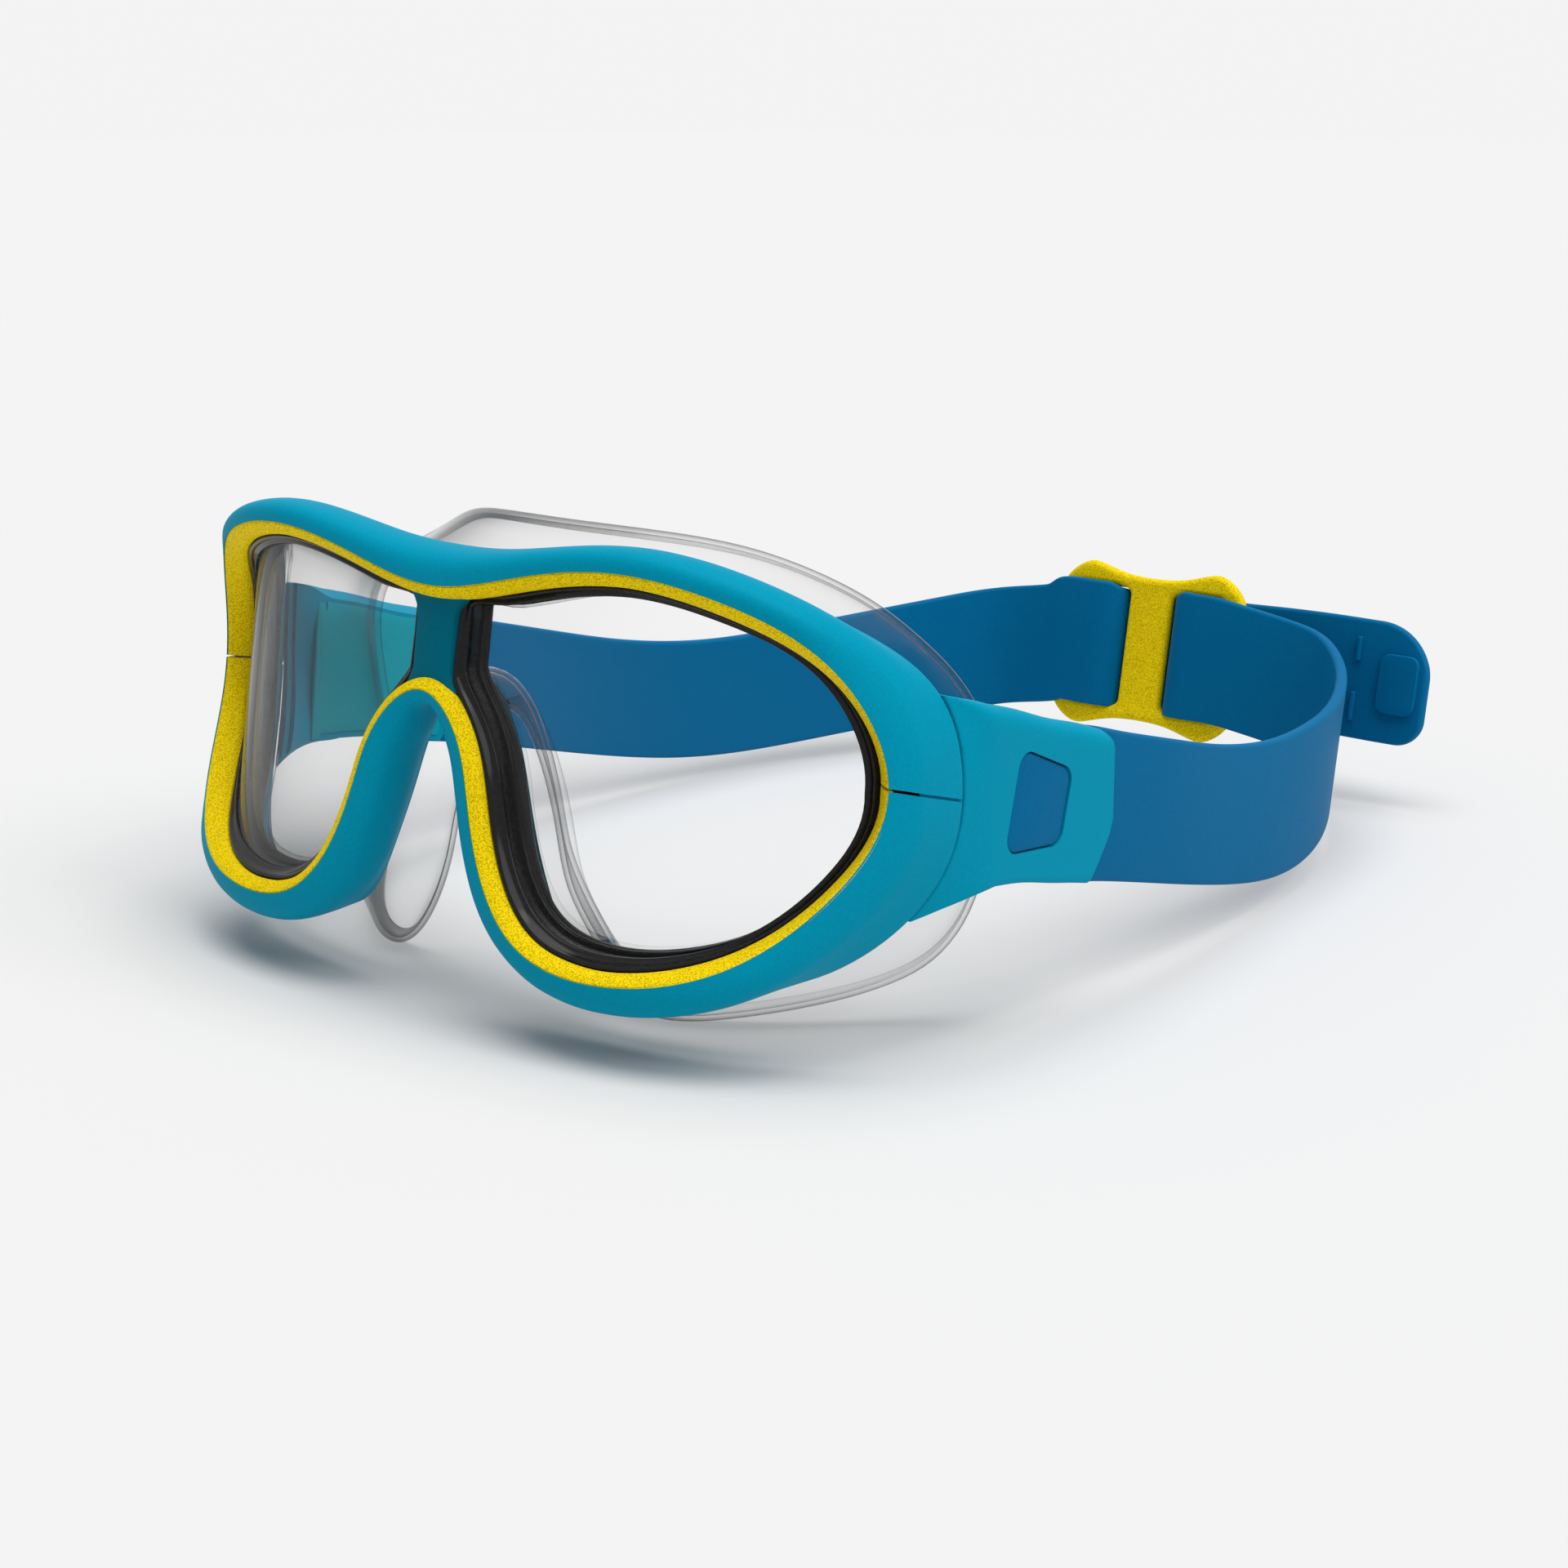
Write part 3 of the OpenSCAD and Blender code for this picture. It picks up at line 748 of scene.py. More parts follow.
def lens_part():
    edge, inner = window_ring(LENS_INSET), window_ring(LENS_INSET + LENS_BEVEL)
    face = [[mix(LENS_MIDDLE, p, size) for p in inner] for size in LENS_RINGS]
    rows = [[solid_point(p, lens_at(p)) for p in ring] for ring in reversed(face)]
    for back in (LENS_BEVEL, LENS_THICK - LENS_BEVEL):
        rows.append([solid_point(p, lens_at(p) + back) for p in edge])
    rows += [[solid_point(p, lens_at(p) + LENS_THICK) for p in ring] for ring in face]
    return loft(rows)


def seal_inset(at):
    """How far in from the window's edge the seal comes out from under the bezel."""
    return max(bezel_edge(at)[0] - WALL_IN - FIT, 0) * ramp(abs(crest(at)[0]), *SEAL_FROM)


def seal_ring(inset, back, under=0, front=False, deep=0):
    """A closed row of the seal. Its inset follows the bezel by the share under, and its depth counts from
    the lens or, at the front, from the bezel's rear, and adds the share deep of the wall's depth."""
    line = []
    for at in EYE:
        edge = window_edge(at, max(inset + under * seal_inset(at), 0))
        y = lens_at(edge)
        if front:
            y = min(front_at(crest(at)) + bezel_edge(at)[1] + BEZEL_THICK, y - SEAL_PROUD)
        y += back + deep * gasket_depth(edge)
        line.append(solid_point(edge, min(y, rear_at(edge) - FIT)))
    return closed_row(line)


def gasket_part():
    """The black seal round a lens: a bead beside the bezel, a lip over the lens and a wall behind it."""
    rings = [seal_ring(0, SEAL_STEP, deep=1), seal_ring(0, BEAD_BACK, front=True)]
    rings += [seal_ring(inset, back, 1, front=True) for inset, back in SEAL_BEAD]
    rings += [seal_ring(inset, back, 1) for inset, back in SEAL_LIP]
    rings += [seal_ring(inset, back) for inset, back in SEAL_POCKET]
    rings += [seal_ring(SEAL_W + inset, SEAL_STEP, 1, deep=share) for inset, share in SEAL_WALL]
    return loft([list(row) for row in zip(*rings)], ring=True)


def build_windows():
    lens, gasket = lens_part(), gasket_part()
    for side in SIDES:
        window = make("lens_" + side + "_clear", on_side(side, lens), LENS)
        hand_in(window, "mask", "lens_clear", "lens_" + side)
        seal = make("gasket_" + side + "_seal", on_side(side, gasket), BLACK)
        hand_in(seal, "mask", "seal_black", "gasket_" + side)


# Skirt
SKIRT_STEPS = 10
SKIRT_SHARP = 60
# Insets of the flange's edges from the crest
FLANGE_OUT = 1.7
FLANGE_IN = 3.0
# How far the waist is drawn in, everywhere and at the brow
WAIST = 2.0
BROW_WAIST = 3.5
WALL_STEPS = 14
# Ends of the wall and of the turned-in lip as (in from the skirt's edge, back from it)
WALL_END = (0.75, -1.4)
LIP_END = (1.0, 1.2)
# Handles of the curve between them: along the wall, and as (out, back) from the lip's end
LIP_START = 1.5
LIP_TURN = (1.6, -0.3)
LIP_STEPS = 7
# The flange's inner edge turns in and back, and more so on both sides of the brow's middle
FLANGE_TURN = np.array([0.4, 0.1])
BROW_TURN = np.array([1.0, 1.6])
BROW_UP = (0.5, 0.95)
BROW_FROM = (4, 9)
BROW_TO = (12, 52)


def on_flange(p):
    return solid_point(p, rear_in_at(p) + 2 * FIT + SKIRT_WALL / 2)


def skirt_line(at):
    """The middle of the skirt's wall at a place, from its flange over the waist to the turned-in lip."""
    s, c, u = skirt_edge(at), outward(crest, at), outward(skirt_edge, at)
    p, y = s[:2], s[2]
    root = beside(at, -FLANGE_OUT)
    brow = ramp(c[1], *BROW_UP) * (1 - ramp(abs(root[0]), *BROW_TO)) * ramp(abs(root[0]), *BROW_FROM)
    turn_in, turn_back = FLANGE_TURN + BROW_TURN * brow
    flange = on_flange(beside(at, -FLANGE_IN))
    line = [flange + solid_point(-turn_in * c, turn_back), flange]
    start, end = on_flange(root), solid_point(p - WALL_END[0] * u, y + WALL_END[1])
    waist_in = (WAIST + BROW_WAIST * max(c[1], 0)) * c
    waist = solid_point(mix(root, p, 0.5) - waist_in, mix(rear_at(root), y, 0.5))
    # With both its handles here, the curve goes through the waist at its middle
    pull = (8 * waist - start - end) / 6
    line += [bezier(start, pull, pull, end, k / WALL_STEPS) for k in range(WALL_STEPS + 1)]
    lip = solid_point(p - LIP_END[0] * u, y + LIP_END[1])
    leave, arrive = end + LIP_START * unit(end - pull), lip + solid_point(LIP_TURN[0] * u, LIP_TURN[1])
    line += [bezier(end, leave, arrive, lip, k / LIP_STEPS) for k in range(1, LIP_STEPS + 1)]
    return line


def thick_sheet(grid, wall):
    """A wall of even thickness round a ring of lines, with round ends."""
    g = np.array(grid)
    around = np.roll(g, -1, 0) - np.roll(g, 1, 0)
    down = np.gradient(g, axis=1)
    n = np.cross(around, down)
    n /= np.linalg.norm(n, axis=2)[..., None]
    ends = [down[:, k] / np.linalg.norm(down[:, k], axis=1)[:, None] * wall / 2 for k in (0, -1)]
    rows = []
    for i in range(len(g)):
        outer = list(g[i] + n[i] * wall / 2)
        inner = list(g[i] - n[i] * wall / 2)
        rows.append(outer + [g[i, -1] + ends[1][i]] + inner[::-1] + [g[i, 0] - ends[0][i]])
    return loft(rows, ring=True)


def build_skirt():
    grid = [skirt_line(i / SKIRT_STEPS) for i in range(LOOP * SKIRT_STEPS)]
    skirt = make("face_skirt", thick_sheet(grid, SKIRT_WALL), SKIRT, SKIRT_SHARP)
    # The folded lip is marked so that the painted dark edge shows more there
    lip = len(grid[0]) - LIP_STEPS
    shares = [ramp(k, lip - 2, lip) for k in range(len(grid[0]))]
    fold_shade_mask = skirt.data.attributes.new(FOLD_SHADE_MASK, "FLOAT", "POINT")
    fold_shade_mask.data.foreach_set("value", (shares + [1.0] + shares[::-1] + [0.0]) * len(grid))
    hand_in(skirt, "mask", "skirt_clear", "skirt")


# Arms
# Places on the rim between which an arm begins
ARM_TOP_AT = 4.3
ARM_LOW_AT = 6.25
# The seam behind the rim, and the rounded start of the arm's skin
SEAM = 0.35
ROOT_ROUND = 0.35
ROOT_SHARE = 0.03
ROOT_IN = 0.5
# How an arm's skin leaves the rim and meets its flat part, as a rise at its top and at its bottom edge
ROOT_RISE = (-0.7, 1.4)
FLAT_RISE = (1.05, -0.35)
# The thin tenon that reaches into the rim
TENON = 1.0
TENON_INSET = 0.3
# The flat part of an arm as (y, top, bottom)
ARM_EDGES = Spline([(ARM_FRONT_Y, 47.7, 20.7), (56, 45.6, 19.7), (64, 43.1, 18.0), (71, 41.1, 16.4),
                    (ARM_END_Y, 38.7, 14.4)])
# Its end: a round upper corner, and a slant forward below a share of the height
END_CORNER = 1.8
END_CORNER_SHARE = 0.09
END_CORNER_POWER = 2.2
END_SLANT = 6.0
END_SLANT_FROM = 0.58
END_SLANT_POWER = 1.2
# Radii of its outer edges, and the stretch from the rim on which they grow
TOP_ROUND = 2.6
LOW_ROUND = 0.9
ROUND_GROWS = (0, 0.9)
# Shares of the height at which its inner face begins and ends, and the stretch on which its top drops
INNER_TOP = 0.015
INNER_DROP = 0.04
INNER_DROPS = (0.3, 1)
INNER_LOW = 0.985
# Shares of an arm's height at which its sections have points, closer towards the rounded edges
ARM_SHARES = [0, 0.006, 0.014, 0.026, 0.042, 0.065, 0.1, 0.17, 0.26, 0.36, 0.46, 0.56, 0.66, 0.76, 0.85,
              0.91, 0.945, 0.97, 0.985, 0.994, 1]
# Places of its sections after the first, from the rim (0) over the flat part's start (1) to the end (2)
ARM_PLACES = [0.008, 0.018, 0.03, *np.linspace(0.08, 1, 12), *np.linspace(1.08, 2, 12)]
ARM_SHARP = 35
# The lock's window in an arm as (y, z) corners, and the pad in it
LOCK_CORNERS = [(50.4, 25.0), (54.4, 40.6), (67.6, 35.0), (64.7, 23.8)]
LOCK_ROUND = 2.6
LOCK_DEPTH = 4.4
LOCK_EDGE = 0.05
LOCK_PLAY = 0.3
PAD_ROUND = 2.4
PAD_THICK = 2.0
PAD_EDGE = 0.3
PAD_SUNK = 0.2


def arm_end(v):
    """Where an arm ends, at a share v of its height from the top."""
    corner = END_CORNER * max(0, 1 - v / END_CORNER_SHARE) ** END_CORNER_POWER
    slant = END_SLANT * max(0, (v - END_SLANT_FROM) / (1 - END_SLANT_FROM)) ** END_SLANT_POWER
    return ARM_END_Y - corner - slant


def arm_point(u, v, inner):
    """A point of the arm's skin, at a place u along it and a share v of its height from the top."""
    x = ARM_X - (ARM_THICK if inner else 0)
    if u > 1:
        y = mix(ARM_FRONT_Y, arm_end(v), u - 1)
        share = (y - ARM_FRONT_Y) / (ARM_END_Y - ARM_FRONT_Y)
        top, bottom = ARM_EDGES((len(ARM_EDGES.points) - 1) * share)[1:]
        return np.array([x, y, mix(top, bottom, v)])
    at = mix(ARM_TOP_AT, ARM_LOW_AT, v)
    edge = rear_edge(at)
    if inner:
        p = beside(at, -ROOT_IN)
    else:
        p = edge + unit(beside(at, -WALL_IN) - edge) * ROOT_ROUND * max(0, 1 - u / ROOT_SHARE) ** 2
    root = solid_point(p, rear_at(edge) + SEAM)
    top, bottom = ARM_EDGES(0)[1:]
    end = np.array([x, ARM_FRONT_Y, mix(top, bottom, v)])
    reach = (end[1] - root[1]) / 3
    leave = root + [(end[0] - root[0]) / 2, reach, mix(*ROOT_RISE, v)]
    arrive = end + [0, -reach, mix(*FLAT_RISE, v)]
    return bezier(root, leave, arrive, end, u)


def arm_row(u):
    """One closed section of an arm: down its outer face and back up inside, with rounded edges."""
    height = np.linalg.norm(arm_point(u, 1, False) - arm_point(u, 0, False))
    grow = ramp(u, *ROUND_GROWS)
    row = []
    for v in ARM_SHARES:
        p = arm_point(u, v, False)
        for size, edge in ((TOP_ROUND * grow, v * height), (LOW_ROUND * grow, (1 - v) * height)):
            if edge < size:
                p = p - [size - math.sqrt(size * size - (size - edge) ** 2), 0, 0]
        row.append(p)
    inner_top = INNER_TOP + INNER_DROP * ramp(u, *INNER_DROPS)
    row += [arm_point(u, mix(inner_top, INNER_LOW, v), True) for v in reversed(ARM_SHARES)]
    return row


def arm_shell():
    """An arm's skin from a thin tenon in the rim to its end, with a strip across each end of the wall."""
    root = arm_row(0)
    neck = [mix(outer, inner, TENON_INSET) for outer, inner in zip(root, reversed(root))]
    rows = [[p - [0, TENON, 0] for p in neck], neck, root] + [arm_row(u) for u in ARM_PLACES]
    points, faces = loft(rows, caps=False)
    count = len(root)
    for first in (0, len(points) - count):
        last = first + count - 1
        faces += [(first + j, first + j + 1, last - j - 1, last - j) for j in range((count - 1) // 2)]
    return points, faces


def side_place(x):
    return lambda a, b, c: np.array([x + c, a, b])


def cut_out(obj, cutter):
    """Takes the cutter's shape out of an object for good."""
    cut = obj.modifiers.new("window", "BOOLEAN")
    cut.object = cutter
    cut.solver = "EXACT"
    seen = obj.evaluated_get(bpy.context.evaluated_depsgraph_get())
    mesh = bpy.data.meshes.new_from_object(seen)
    obj.modifiers.clear()
    obj.data = mesh
    bpy.data.objects.remove(cutter)
    mesh.set_sharp_from_angle(angle=math.radians(ARM_SHARP))


def build_arms():
    shell = arm_shell()
    window = plate_part([rounded(LOCK_CORNERS, LOCK_ROUND)], 2 * LOCK_DEPTH, LOCK_EDGE, side_place(ARM_X))
    corners = np.array(LOCK_CORNERS)
    smaller = [tuple(c - unit(c - corners.mean(0)) * LOCK_PLAY) for c in corners]
    pad_place = side_place(ARM_X - PAD_SUNK - PAD_THICK / 2)
    pad = plate_part([rounded(smaller, PAD_ROUND)], PAD_THICK, PAD_EDGE, pad_place)
    for side in SIDES:
        arm = make("temple_arm_" + side, on_side(side, shell), TEAL)
        cut_out(arm, make("cutter", on_side(side, window), TEAL))
        hand_in(arm, "mask", "frame_teal", "arm_" + side)
        lock = make("lock_pad_" + side, on_side(side, pad), BLUE)
        hand_in(lock, "lock_" + side, "strap_blue", "strap_lock_" + side)


# Inner plates of the arms
# Upper and lower edge of a plate as (u, v) places of the arm's inner face, each with its small catch
PLATE_TOP = [(0.6, 0.1), (0.74, 0.1), (0.76, 0.14), (0.79, 0.14), (0.8, 0.085), (1.93, 0.085)]
PLATE_LOW = [(0.46, 0.975), (0.6, 0.975), (0.62, 0.935), (1.93, 0.945)]
PLATE_PROUD = 0.35
PLATE_SUNK = 0.4
PLATE_ROUND = 0.12
# Shares of the height at which the proud face has points
PLATE_FACE = np.linspace(0.985, 0.015, 14)
PLATE_STEPS = 72


def plate_edge(line, share):
    """The place at a share of the way along an edge of the plate, counted in u."""
    u = mix(line[0][0], line[-1][0], share)
    return u, float(np.interp(u, *zip(*line)))


def build_plates():
    """Thin plates that follow the inner faces of the arms and stand a little proud of them."""
    rows = []
    for share in np.linspace(0, 1, PLATE_STEPS):
        top, low = np.array(plate_edge(PLATE_TOP, share)), np.array(plate_edge(PLATE_LOW, share))
        end = PLATE_ROUND if share in (0, 1) else 0
        steps = [(0, PLATE_SUNK), (1, PLATE_SUNK), (1, PLATE_ROUND - PLATE_PROUD)]
        steps += [(f, end - PLATE_PROUD) for f in PLATE_FACE] + [(0, PLATE_ROUND - PLATE_PROUD)]
        rows.append([arm_point(*mix(top, low, f), True) + [shift, 0, 0] for f, shift in steps])
    part = loft(rows)
    for side in SIDES:
        plate = make("arm_plate_" + side + "_cover", on_side(side, part), PLATE)
        hand_in(plate, "mask", "frame_teal", "arm_plate_" + side)


# Straps
STRAP_START = 0.6
STRAP_SHARP = 50
STRAP_ARC = 5
LEAST_FLAT = 0.05
LAYER_PLAY = 0.2
LAYER = BUCKLE_THICK / 2 + STRAP_THICK / 2 + LAYER_PLAY
SLOT_X = BUCKLE_W / 2 - END_BAR_W
BAR_EDGE = BAR_W / 2
# Next to the buckle, a strap turns into the buckle's plane over this length
STRAP_TWIST = 12
# Its upper edge rises there by this much, setting in beside the middle bar and running out further on
BUCKLE_RISE = 1.2
RISE_FROM = (BAR_EDGE + 1.2, BAR_EDGE + 4.5)
LEFT_RISE_TO = (BAR_EDGE, SLOT_X + 16)
TAIL_RISE_TO = (SLOT_X + 2, SLOT_X + END_BAR_W)
# Middle line of the left strap from the arm to the back, as (x, y, z, width, lean in degrees)
STRAP_PATH = [(72, 64, 30.1, 23.2, 0), (72, 73, 28.1, 24.0, 0), (72, 82, 25.9, 23.4, 0),
              (71.6, 99, 21.6, 23.1, 0), (70, 116.5, 17.3, 23.2, -3), (68, 134.5, 14, 23.9, -3),
              (65.1, 151.5, 12.8, 24.4, -1), (60.3, 168.9, 13.4, 24.4, 3), (52.7, 185.2, 15.1, 24.4, 5),
              (44.8, 196.1, 17.0, 24.4, 5.5), (36, 202.6, 18.9, 24.4, 8), (26, 203.9, 20.5, 24.4, 10)]
LEFT_STEPS = 220
RIGHT_STEPS = 230
# Places between which the straps would bend when the buckle slides; nothing bends them here
BEND_START = (60, 171, 20)
BEND_END = (23, 171, 20)
# The free tail: where it ends, its upper and lower corner's radius, how much narrower it is, and its gap
# to the other strap in the buckle
TAIL_END = 60.1
TAIL_ROUND = (11.2, 5.4)
TAIL_NARROW = 0.9
TAIL_GAP = 0.3
# Its last stretch, counted in points of the path, has its sections closer together
TAIL_FINE = 1.3
TAIL_FINE_STEPS = 60
# Its route after the buckle as (x, depth behind the bar, height)
TAIL_PATH = [(-SLOT_X, 0, -0.7), (-29, 0.25, -0.45), (-40, 0.5, -0.45), (-50, 0.9, -0.7),
             (-TAIL_END, 1.3, -0.8)]
# Plain raised forms on it as corners of (x, height above the middle line) with their radius
TAIL_FORMS = [(box(47.6, 55.6, -5.9, 5.7), 2.0),
              (box(42.2, 43.1, 3.4, 8.2), 0.3),
              (box(42.2, 43.1, -8.3, -2.6), 0.3)]
TAIL_RAISE = 0.5
TAIL_FORM_EDGE = 0.25


def strap_frame(path, at):
    """A place of a strap: its middle, the directions across and out of it, and its width."""
    p = path(at)
    along = unit(heading(path, at, 0.02)[:3])
    out, up = np.array([0, 1.0, 0]), np.array([0, 0, 1.0])
    free = ramp(p[0], SLOT_X, SLOT_X + STRAP_TWIST)
    if free > 0:
        out = unit(mix(out, unit(np.array([along[1], -along[0], 0])), free))
        up = unit(mix(up, unit(np.cross(out, along)), free))
    lean = math.radians(p[4])
    side = up * math.cos(lean) + out * math.sin(lean)
    return p[:3], side, unit(np.cross(along, side)), p[3]


def strap_row(path, at, cut=(0, 0), thick=STRAP_THICK):
    """One section of a strap with rounded edges; cut is what is taken off its upper and lower edge."""
    middle, side, flat, wide = strap_frame(path, at)
    edge = min(STRAP_EDGE, thick / 2 - LEAST_FLAT)
    row = []
    for a, b in ((1, 1), (1, -1), (-1, -1), (-1, 1)):
        half = wide / 2 - cut[0 if a > 0 else 1]
        for k in range(STRAP_ARC + 1):
            angle = math.radians(90 * k / STRAP_ARC)
            s, c = math.sin(angle), math.cos(angle)
            if a != b:
                s, c = c, s
            across, out = half - edge + edge * s, thick / 2 - edge + edge * c
            row.append(middle + side * a * across + flat * b * out)
    return row


def leaning(x, up, deep):
    """A point at the back of the head, where the buckle and the straps in it lean."""
    return np.array([x, STRAP_BACK_Y + up * math.sin(STRAP_LEAN) + deep * math.cos(STRAP_LEAN),
                     BACK_Z + up * math.cos(STRAP_LEAN) - deep * math.sin(STRAP_LEAN)])


def through_buckle(steps, hand):
    """Places of a strap in the buckle from (x, depth) steps. hand is 1 for the left strap and -1 for the
    right one."""
    lean = math.degrees(STRAP_LEAN)
    return [(*leaning(x + hand * BUCKLE_X, 0, deep), STRAP_W, lean) for x, deep in steps]


def into_slot(behind):
    """Steps of a strap over the end bar and through the slot to a depth behind the middle bar."""
    return [(SLOT_X + 1, 0), (SLOT_X - 4, 0), (BAR_EDGE + 4.3, 0.35), (BAR_EDGE + 2.0, 2.2),
            (BAR_EDGE + 1.4, 0.5 * behind + 1.5), (BAR_EDGE - 0.6, behind - 0.1), (0, behind)]


def edge_rise(x, to):
    """How far the upper edge of a strap rises at a place beside the buckle's middle."""
    return BUCKLE_RISE * (1 - ramp(x, *to)) * ramp(x, *RISE_FROM)


def finish_strap(strap, hand, *nodes):
    """Hides the strap's imported pieces and bakes its placement into its mesh; the places where it would
    bend as the buckle slides are worked out but not used.
    """
    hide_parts(*nodes)
    start, end = [placed((hand * x, y, z)) for x, y, z in (BEND_START, BEND_END)]
    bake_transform(strap)
    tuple(start)
    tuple(end)


def build_left_strap():
    behind = 2 * LAYER
    path = Spline(STRAP_PATH + through_buckle(into_slot(behind) + [(1 - BAR_EDGE, behind)], 1))
    rows = []
    for at in np.linspace(STRAP_START, len(path.points) - 1, LEFT_STEPS):
        rise = edge_rise(path(at)[0] - BUCKLE_X, LEFT_RISE_TO)
        rows.append(strap_row(path, at, (-rise, 0)))
    strap = make("strap_left_band", loft(rows), BLUE, STRAP_SHARP)
    finish_strap(strap, 1, "strap_left", "strap_left_end")


def tail_row(path, at, reach):
    """A section of the right strap at a distance from the tail's end, where both corners are round."""
    def corner(r):
        return r - math.sqrt(r * r - (r - reach) ** 2) if reach < r else 0
    thin = 2 * min(corner(STRAP_EDGE), STRAP_EDGE - LEAST_FLAT)
    rise = edge_rise(path(at)[0] + BUCKLE_X, TAIL_RISE_TO)
    upper, lower = [corner(r) for r in TAIL_ROUND]
    return strap_row(path, at, (upper - rise, lower), STRAP_THICK - thin)


def raised_part(path, corners, r):
    """A low form with round edges on the tail's face towards the mask."""
    last = len(path.points) - 1
    places = np.linspace(last - 3, last, 200)
    out = [-path(at)[0] for at in places]

    def place(a, b, c):
        middle, side, flat, _ = strap_frame(path, np.interp(a, out, places))
        return middle + side * b + flat * (c - STRAP_THICK / 2 - TAIL_RAISE / 2)
    return plate_part([rounded(corners, r, arc=6)], 3 * TAIL_RAISE, TAIL_FORM_EDGE, place)


def build_right_strap():
    """Drawn on the left, as the other strap is, with its tail across to the right, and then mirrored."""
    behind = 2 * LAYER + STRAP_THICK + TAIL_GAP
    end = through_buckle(into_slot(behind) + [(-BAR_EDGE, behind)], -1)
    end += [(x - BUCKLE_X, STRAP_BACK_Y + behind + deep, BACK_Z + up, STRAP_W - TAIL_NARROW,
             math.degrees(STRAP_LEAN)) for x, deep, up in TAIL_PATH]
    path = Spline(STRAP_PATH + end)
    last = len(path.points) - 1
    places = [*np.linspace(STRAP_START, last - TAIL_FINE, RIGHT_STEPS),
              *(last - TAIL_FINE * np.linspace(1, 0, TAIL_FINE_STEPS)[1:] ** 2)]
    rows = [tail_row(path, at, path(at)[0] - path(last)[0]) for at in places]
    forms = [raised_part(path, corners, r) for corners, r in TAIL_FORMS]
    strap = make("strap_right_band", mirrored(joined(loft(rows), *forms)), BLUE, STRAP_SHARP)
    finish_strap(strap, -1, "strap_right", "strap_right_tail")


# Buckle
BUCKLE_EDGE = 1.2
BUCKLE_PLAY = 0.15
BUCKLE_BACK = BUCKLE_THICK / 2 + STRAP_THICK / 2 + BUCKLE_PLAY
BUCKLE_SHARP = 50
SLOT_SQUEEZE = 0.2
SLOT_H = STRAP_W - SLOT_SQUEEZE
SLOT_ROUND = 1.5
# A quarter of the buckle's outline as (x, height), from the middle of its upper edge to the end bar
BUCKLE_QUARTER = [(0, BUCKLE_H / 2 - 2.1), (7, BUCKLE_H / 2 - 1.6), (13, BUCKLE_H / 2 - 0.1),
                  (17, BUCKLE_H / 2 - 0.4), (BUCKLE_W / 2 - 1, 12.4), (BUCKLE_W / 2, 6)]
BUCKLE_WAIST = (BUCKLE_W / 2 - 0.2, 0)
BUCKLE_STEPS = 5


def build_buckle():
    half = BUCKLE_QUARTER + [BUCKLE_WAIST] + [(x, -z) for x, z in reversed(BUCKLE_QUARTER)]
    smooth = Spline(half + [(-x, z) for x, z in reversed(half[1:-1])], closed=True)
    outlines = [[tuple(smooth(i / BUCKLE_STEPS)) for i in range(len(smooth.points) * BUCKLE_STEPS)]]
    for hand in (1, -1):
        slot = box(hand * BAR_EDGE, hand * SLOT_X, -SLOT_H / 2, SLOT_H / 2)
        outlines.append(rounded(slot, SLOT_ROUND))

    def place(a, b, c):
        return leaning(a + BUCKLE_X, b, c) + [0, BUCKLE_BACK, 0]
    part = plate_part(outlines, BUCKLE_THICK, BUCKLE_EDGE, place)
    buckle = make("slide_buckle_plate", part, YELLOW, BUCKLE_SHARP)
    hand_in(buckle, "slide_buckle", "trim_yellow", "buckle")


# Stage
BACKGROUND = 0.896
FLOOR_PALE = 0.71
FLOOR_HALF = 6.0
SOFT_LIGHT = 0.32
# Each lamp's strength, and its tilt from straight above towards the wearer's left
LAMPS = {"top": (1.85, 0), "side": (1.45, 38)}
LAMP_SPREAD = 50
CAMERA_AT = (302.3, -373.35, 136.76)
CAMERA_DOWN = 14.116
CAMERA_TURN = 40.464
CAMERA_LENS = 63.75
CAMERA_SENSOR = 36.0
CAMERA_NEAR = 10.0


def grey(value):
    return (value, value, value, 1)


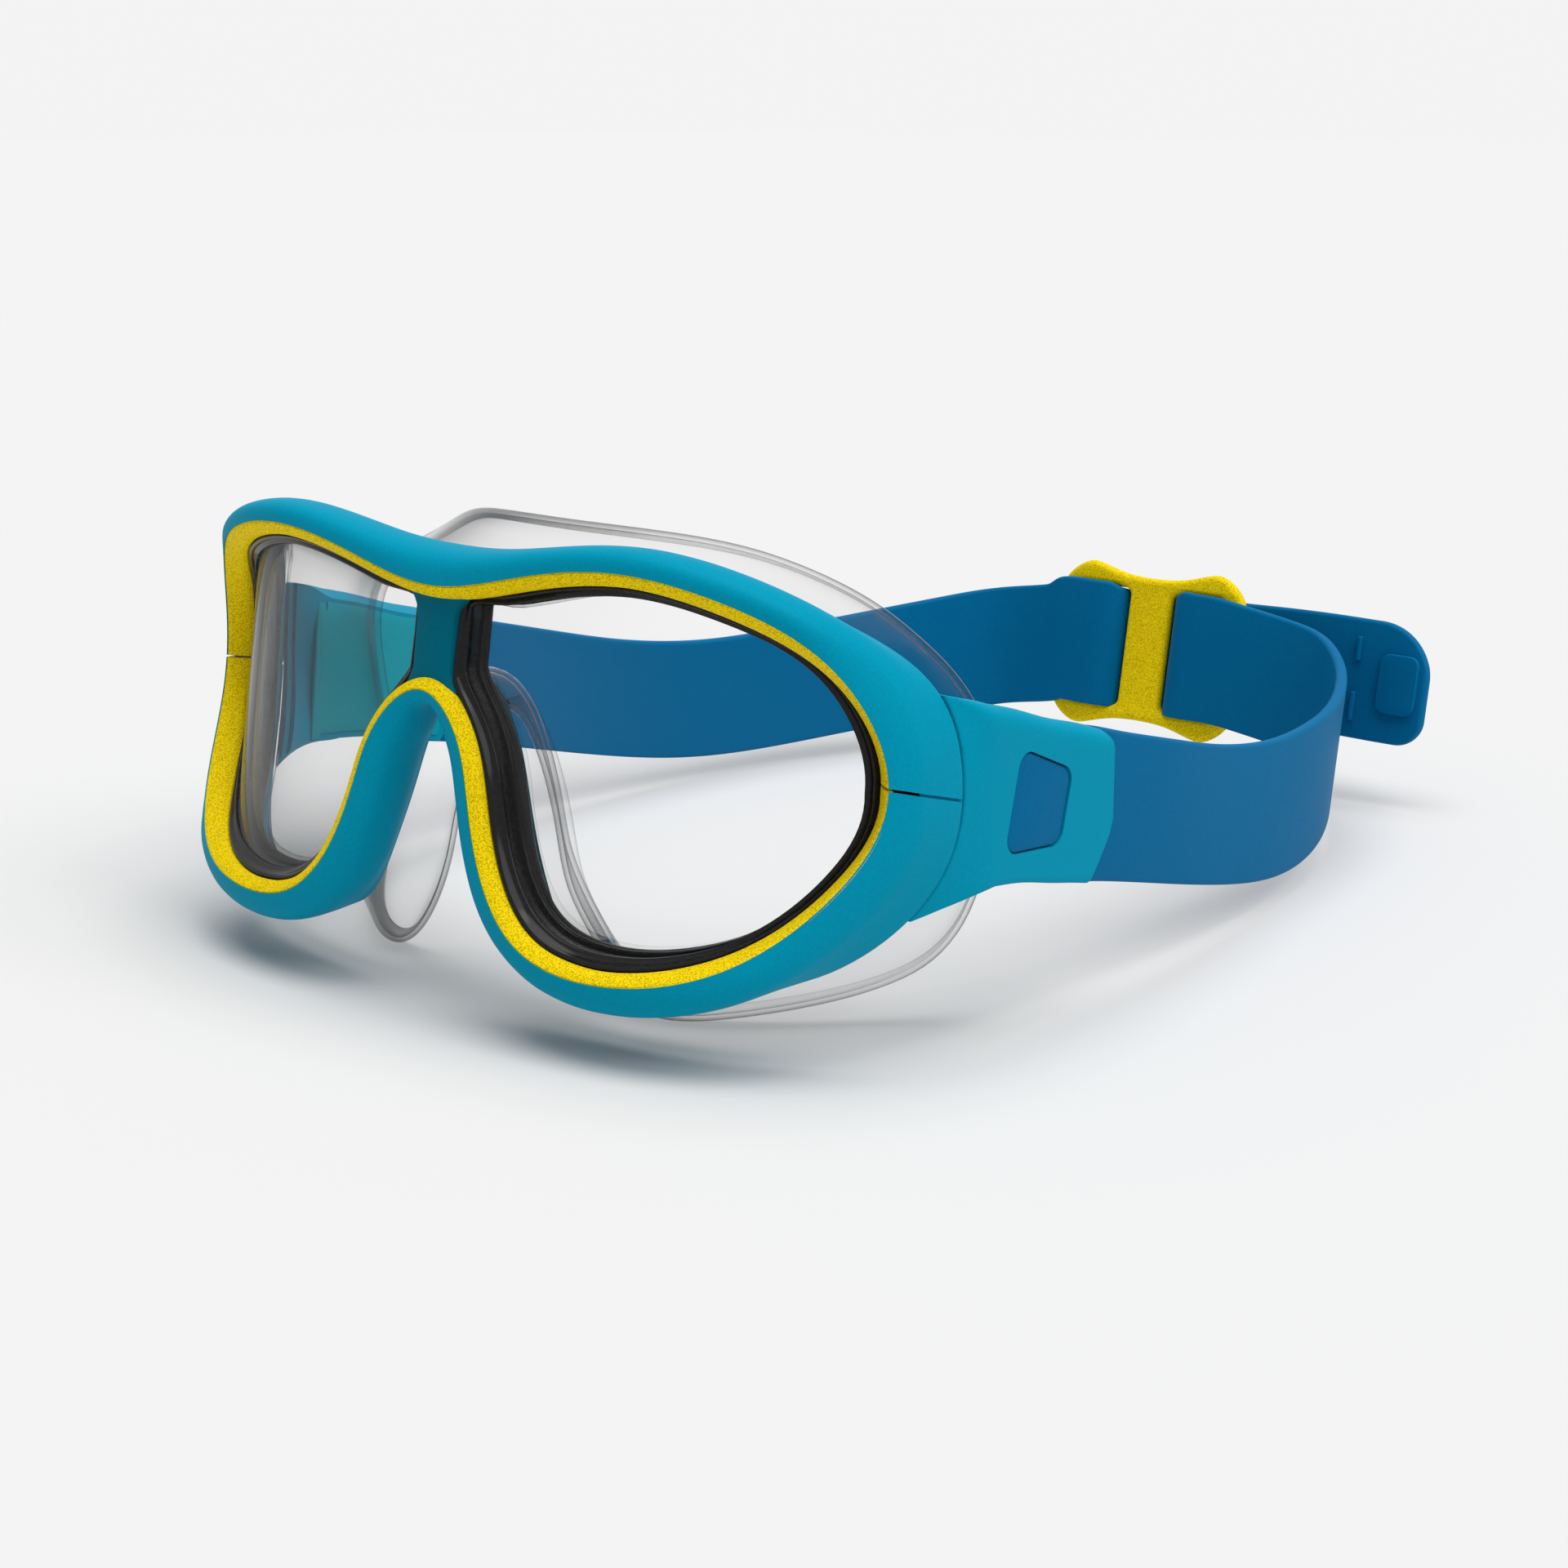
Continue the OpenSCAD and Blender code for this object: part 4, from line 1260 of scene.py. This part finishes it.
def seen_mix(holder, unseen, seen):
    """A mix of two shaders, the second for rays that show the background: straight ones, and those that
    are mirrored by a piece or go through a clear one."""
    path = add(holder, "ShaderNodeLightPath")
    share = path.outputs["Is Camera Ray"]
    for ray in ("Is Glossy Ray", "Is Transmission Ray"):
        most = add(holder, "ShaderNodeMath", operation="MAXIMUM")
        wire(holder, share, most.inputs[0])
        wire(holder, path.outputs[ray], most.inputs[1])
        share = most.outputs["Value"]
    both = add(holder, "ShaderNodeMixShader")
    wire(holder, share, both.inputs["Fac"])
    wire(holder, unseen.outputs[0], both.inputs[1])
    wire(holder, seen.outputs[0], both.inputs[2])
    return both


def build_floor():
    mesh = bpy.data.meshes.new("floor")
    corners = box(-FLOOR_HALF, FLOOR_HALF, -FLOOR_HALF, FLOOR_HALF)
    mesh.from_pydata([(x, y, 0) for x, y in corners], [], [(0, 1, 2, 3)])
    m = bpy.data.materials.new("pale floor")
    m.use_nodes = True
    m.node_tree.nodes.clear()
    tone = add(m, "ShaderNodeBsdfDiffuse", Color=grey(FLOOR_PALE))
    wire(m, tone.outputs["BSDF"], add(m, "ShaderNodeOutputMaterial").inputs["Surface"])
    mesh.materials.append(m)
    link("floor", mesh)


def build_light():
    world = bpy.data.worlds.new("studio")
    bpy.context.scene.world = world
    world.use_nodes = True
    nodes = world.node_tree.nodes
    soft = nodes["Background"]
    soft.inputs["Color"].default_value = grey(1)
    soft.inputs["Strength"].default_value = SOFT_LIGHT
    shown = add(world, "ShaderNodeBackground", Color=grey(BACKGROUND))
    both = seen_mix(world, soft, shown)
    wire(world, both.outputs["Shader"], nodes["World Output"].inputs["Surface"])
    for name, (strength, tilt) in LAMPS.items():
        lamp = bpy.data.lights.new(name, "SUN")
        lamp.energy = strength
        lamp.angle = math.radians(LAMP_SPREAD)
        link(name, lamp).rotation_euler = (0, math.radians(tilt), 0)


def build_camera():
    data = bpy.data.cameras.new("camera")
    data.sensor_width = CAMERA_SENSOR
    data.lens = CAMERA_LENS
    data.clip_start = CAMERA_NEAR * MM
    camera = link("camera", data)
    camera.location = [c * MM for c in CAMERA_AT]
    camera.rotation_euler = (math.radians(90 - CAMERA_DOWN), 0, math.radians(CAMERA_TURN))
    bpy.context.scene.camera = camera


build_camera()
build_light()
build_floor()
build_rim()
build_bezels()
build_windows()
build_skirt()
build_arms()
build_plates()
build_left_strap()
build_right_strap()
build_buckle()
bpy.context.scene.view_settings.view_transform = "Standard"
bpy.context.view_layer.update()
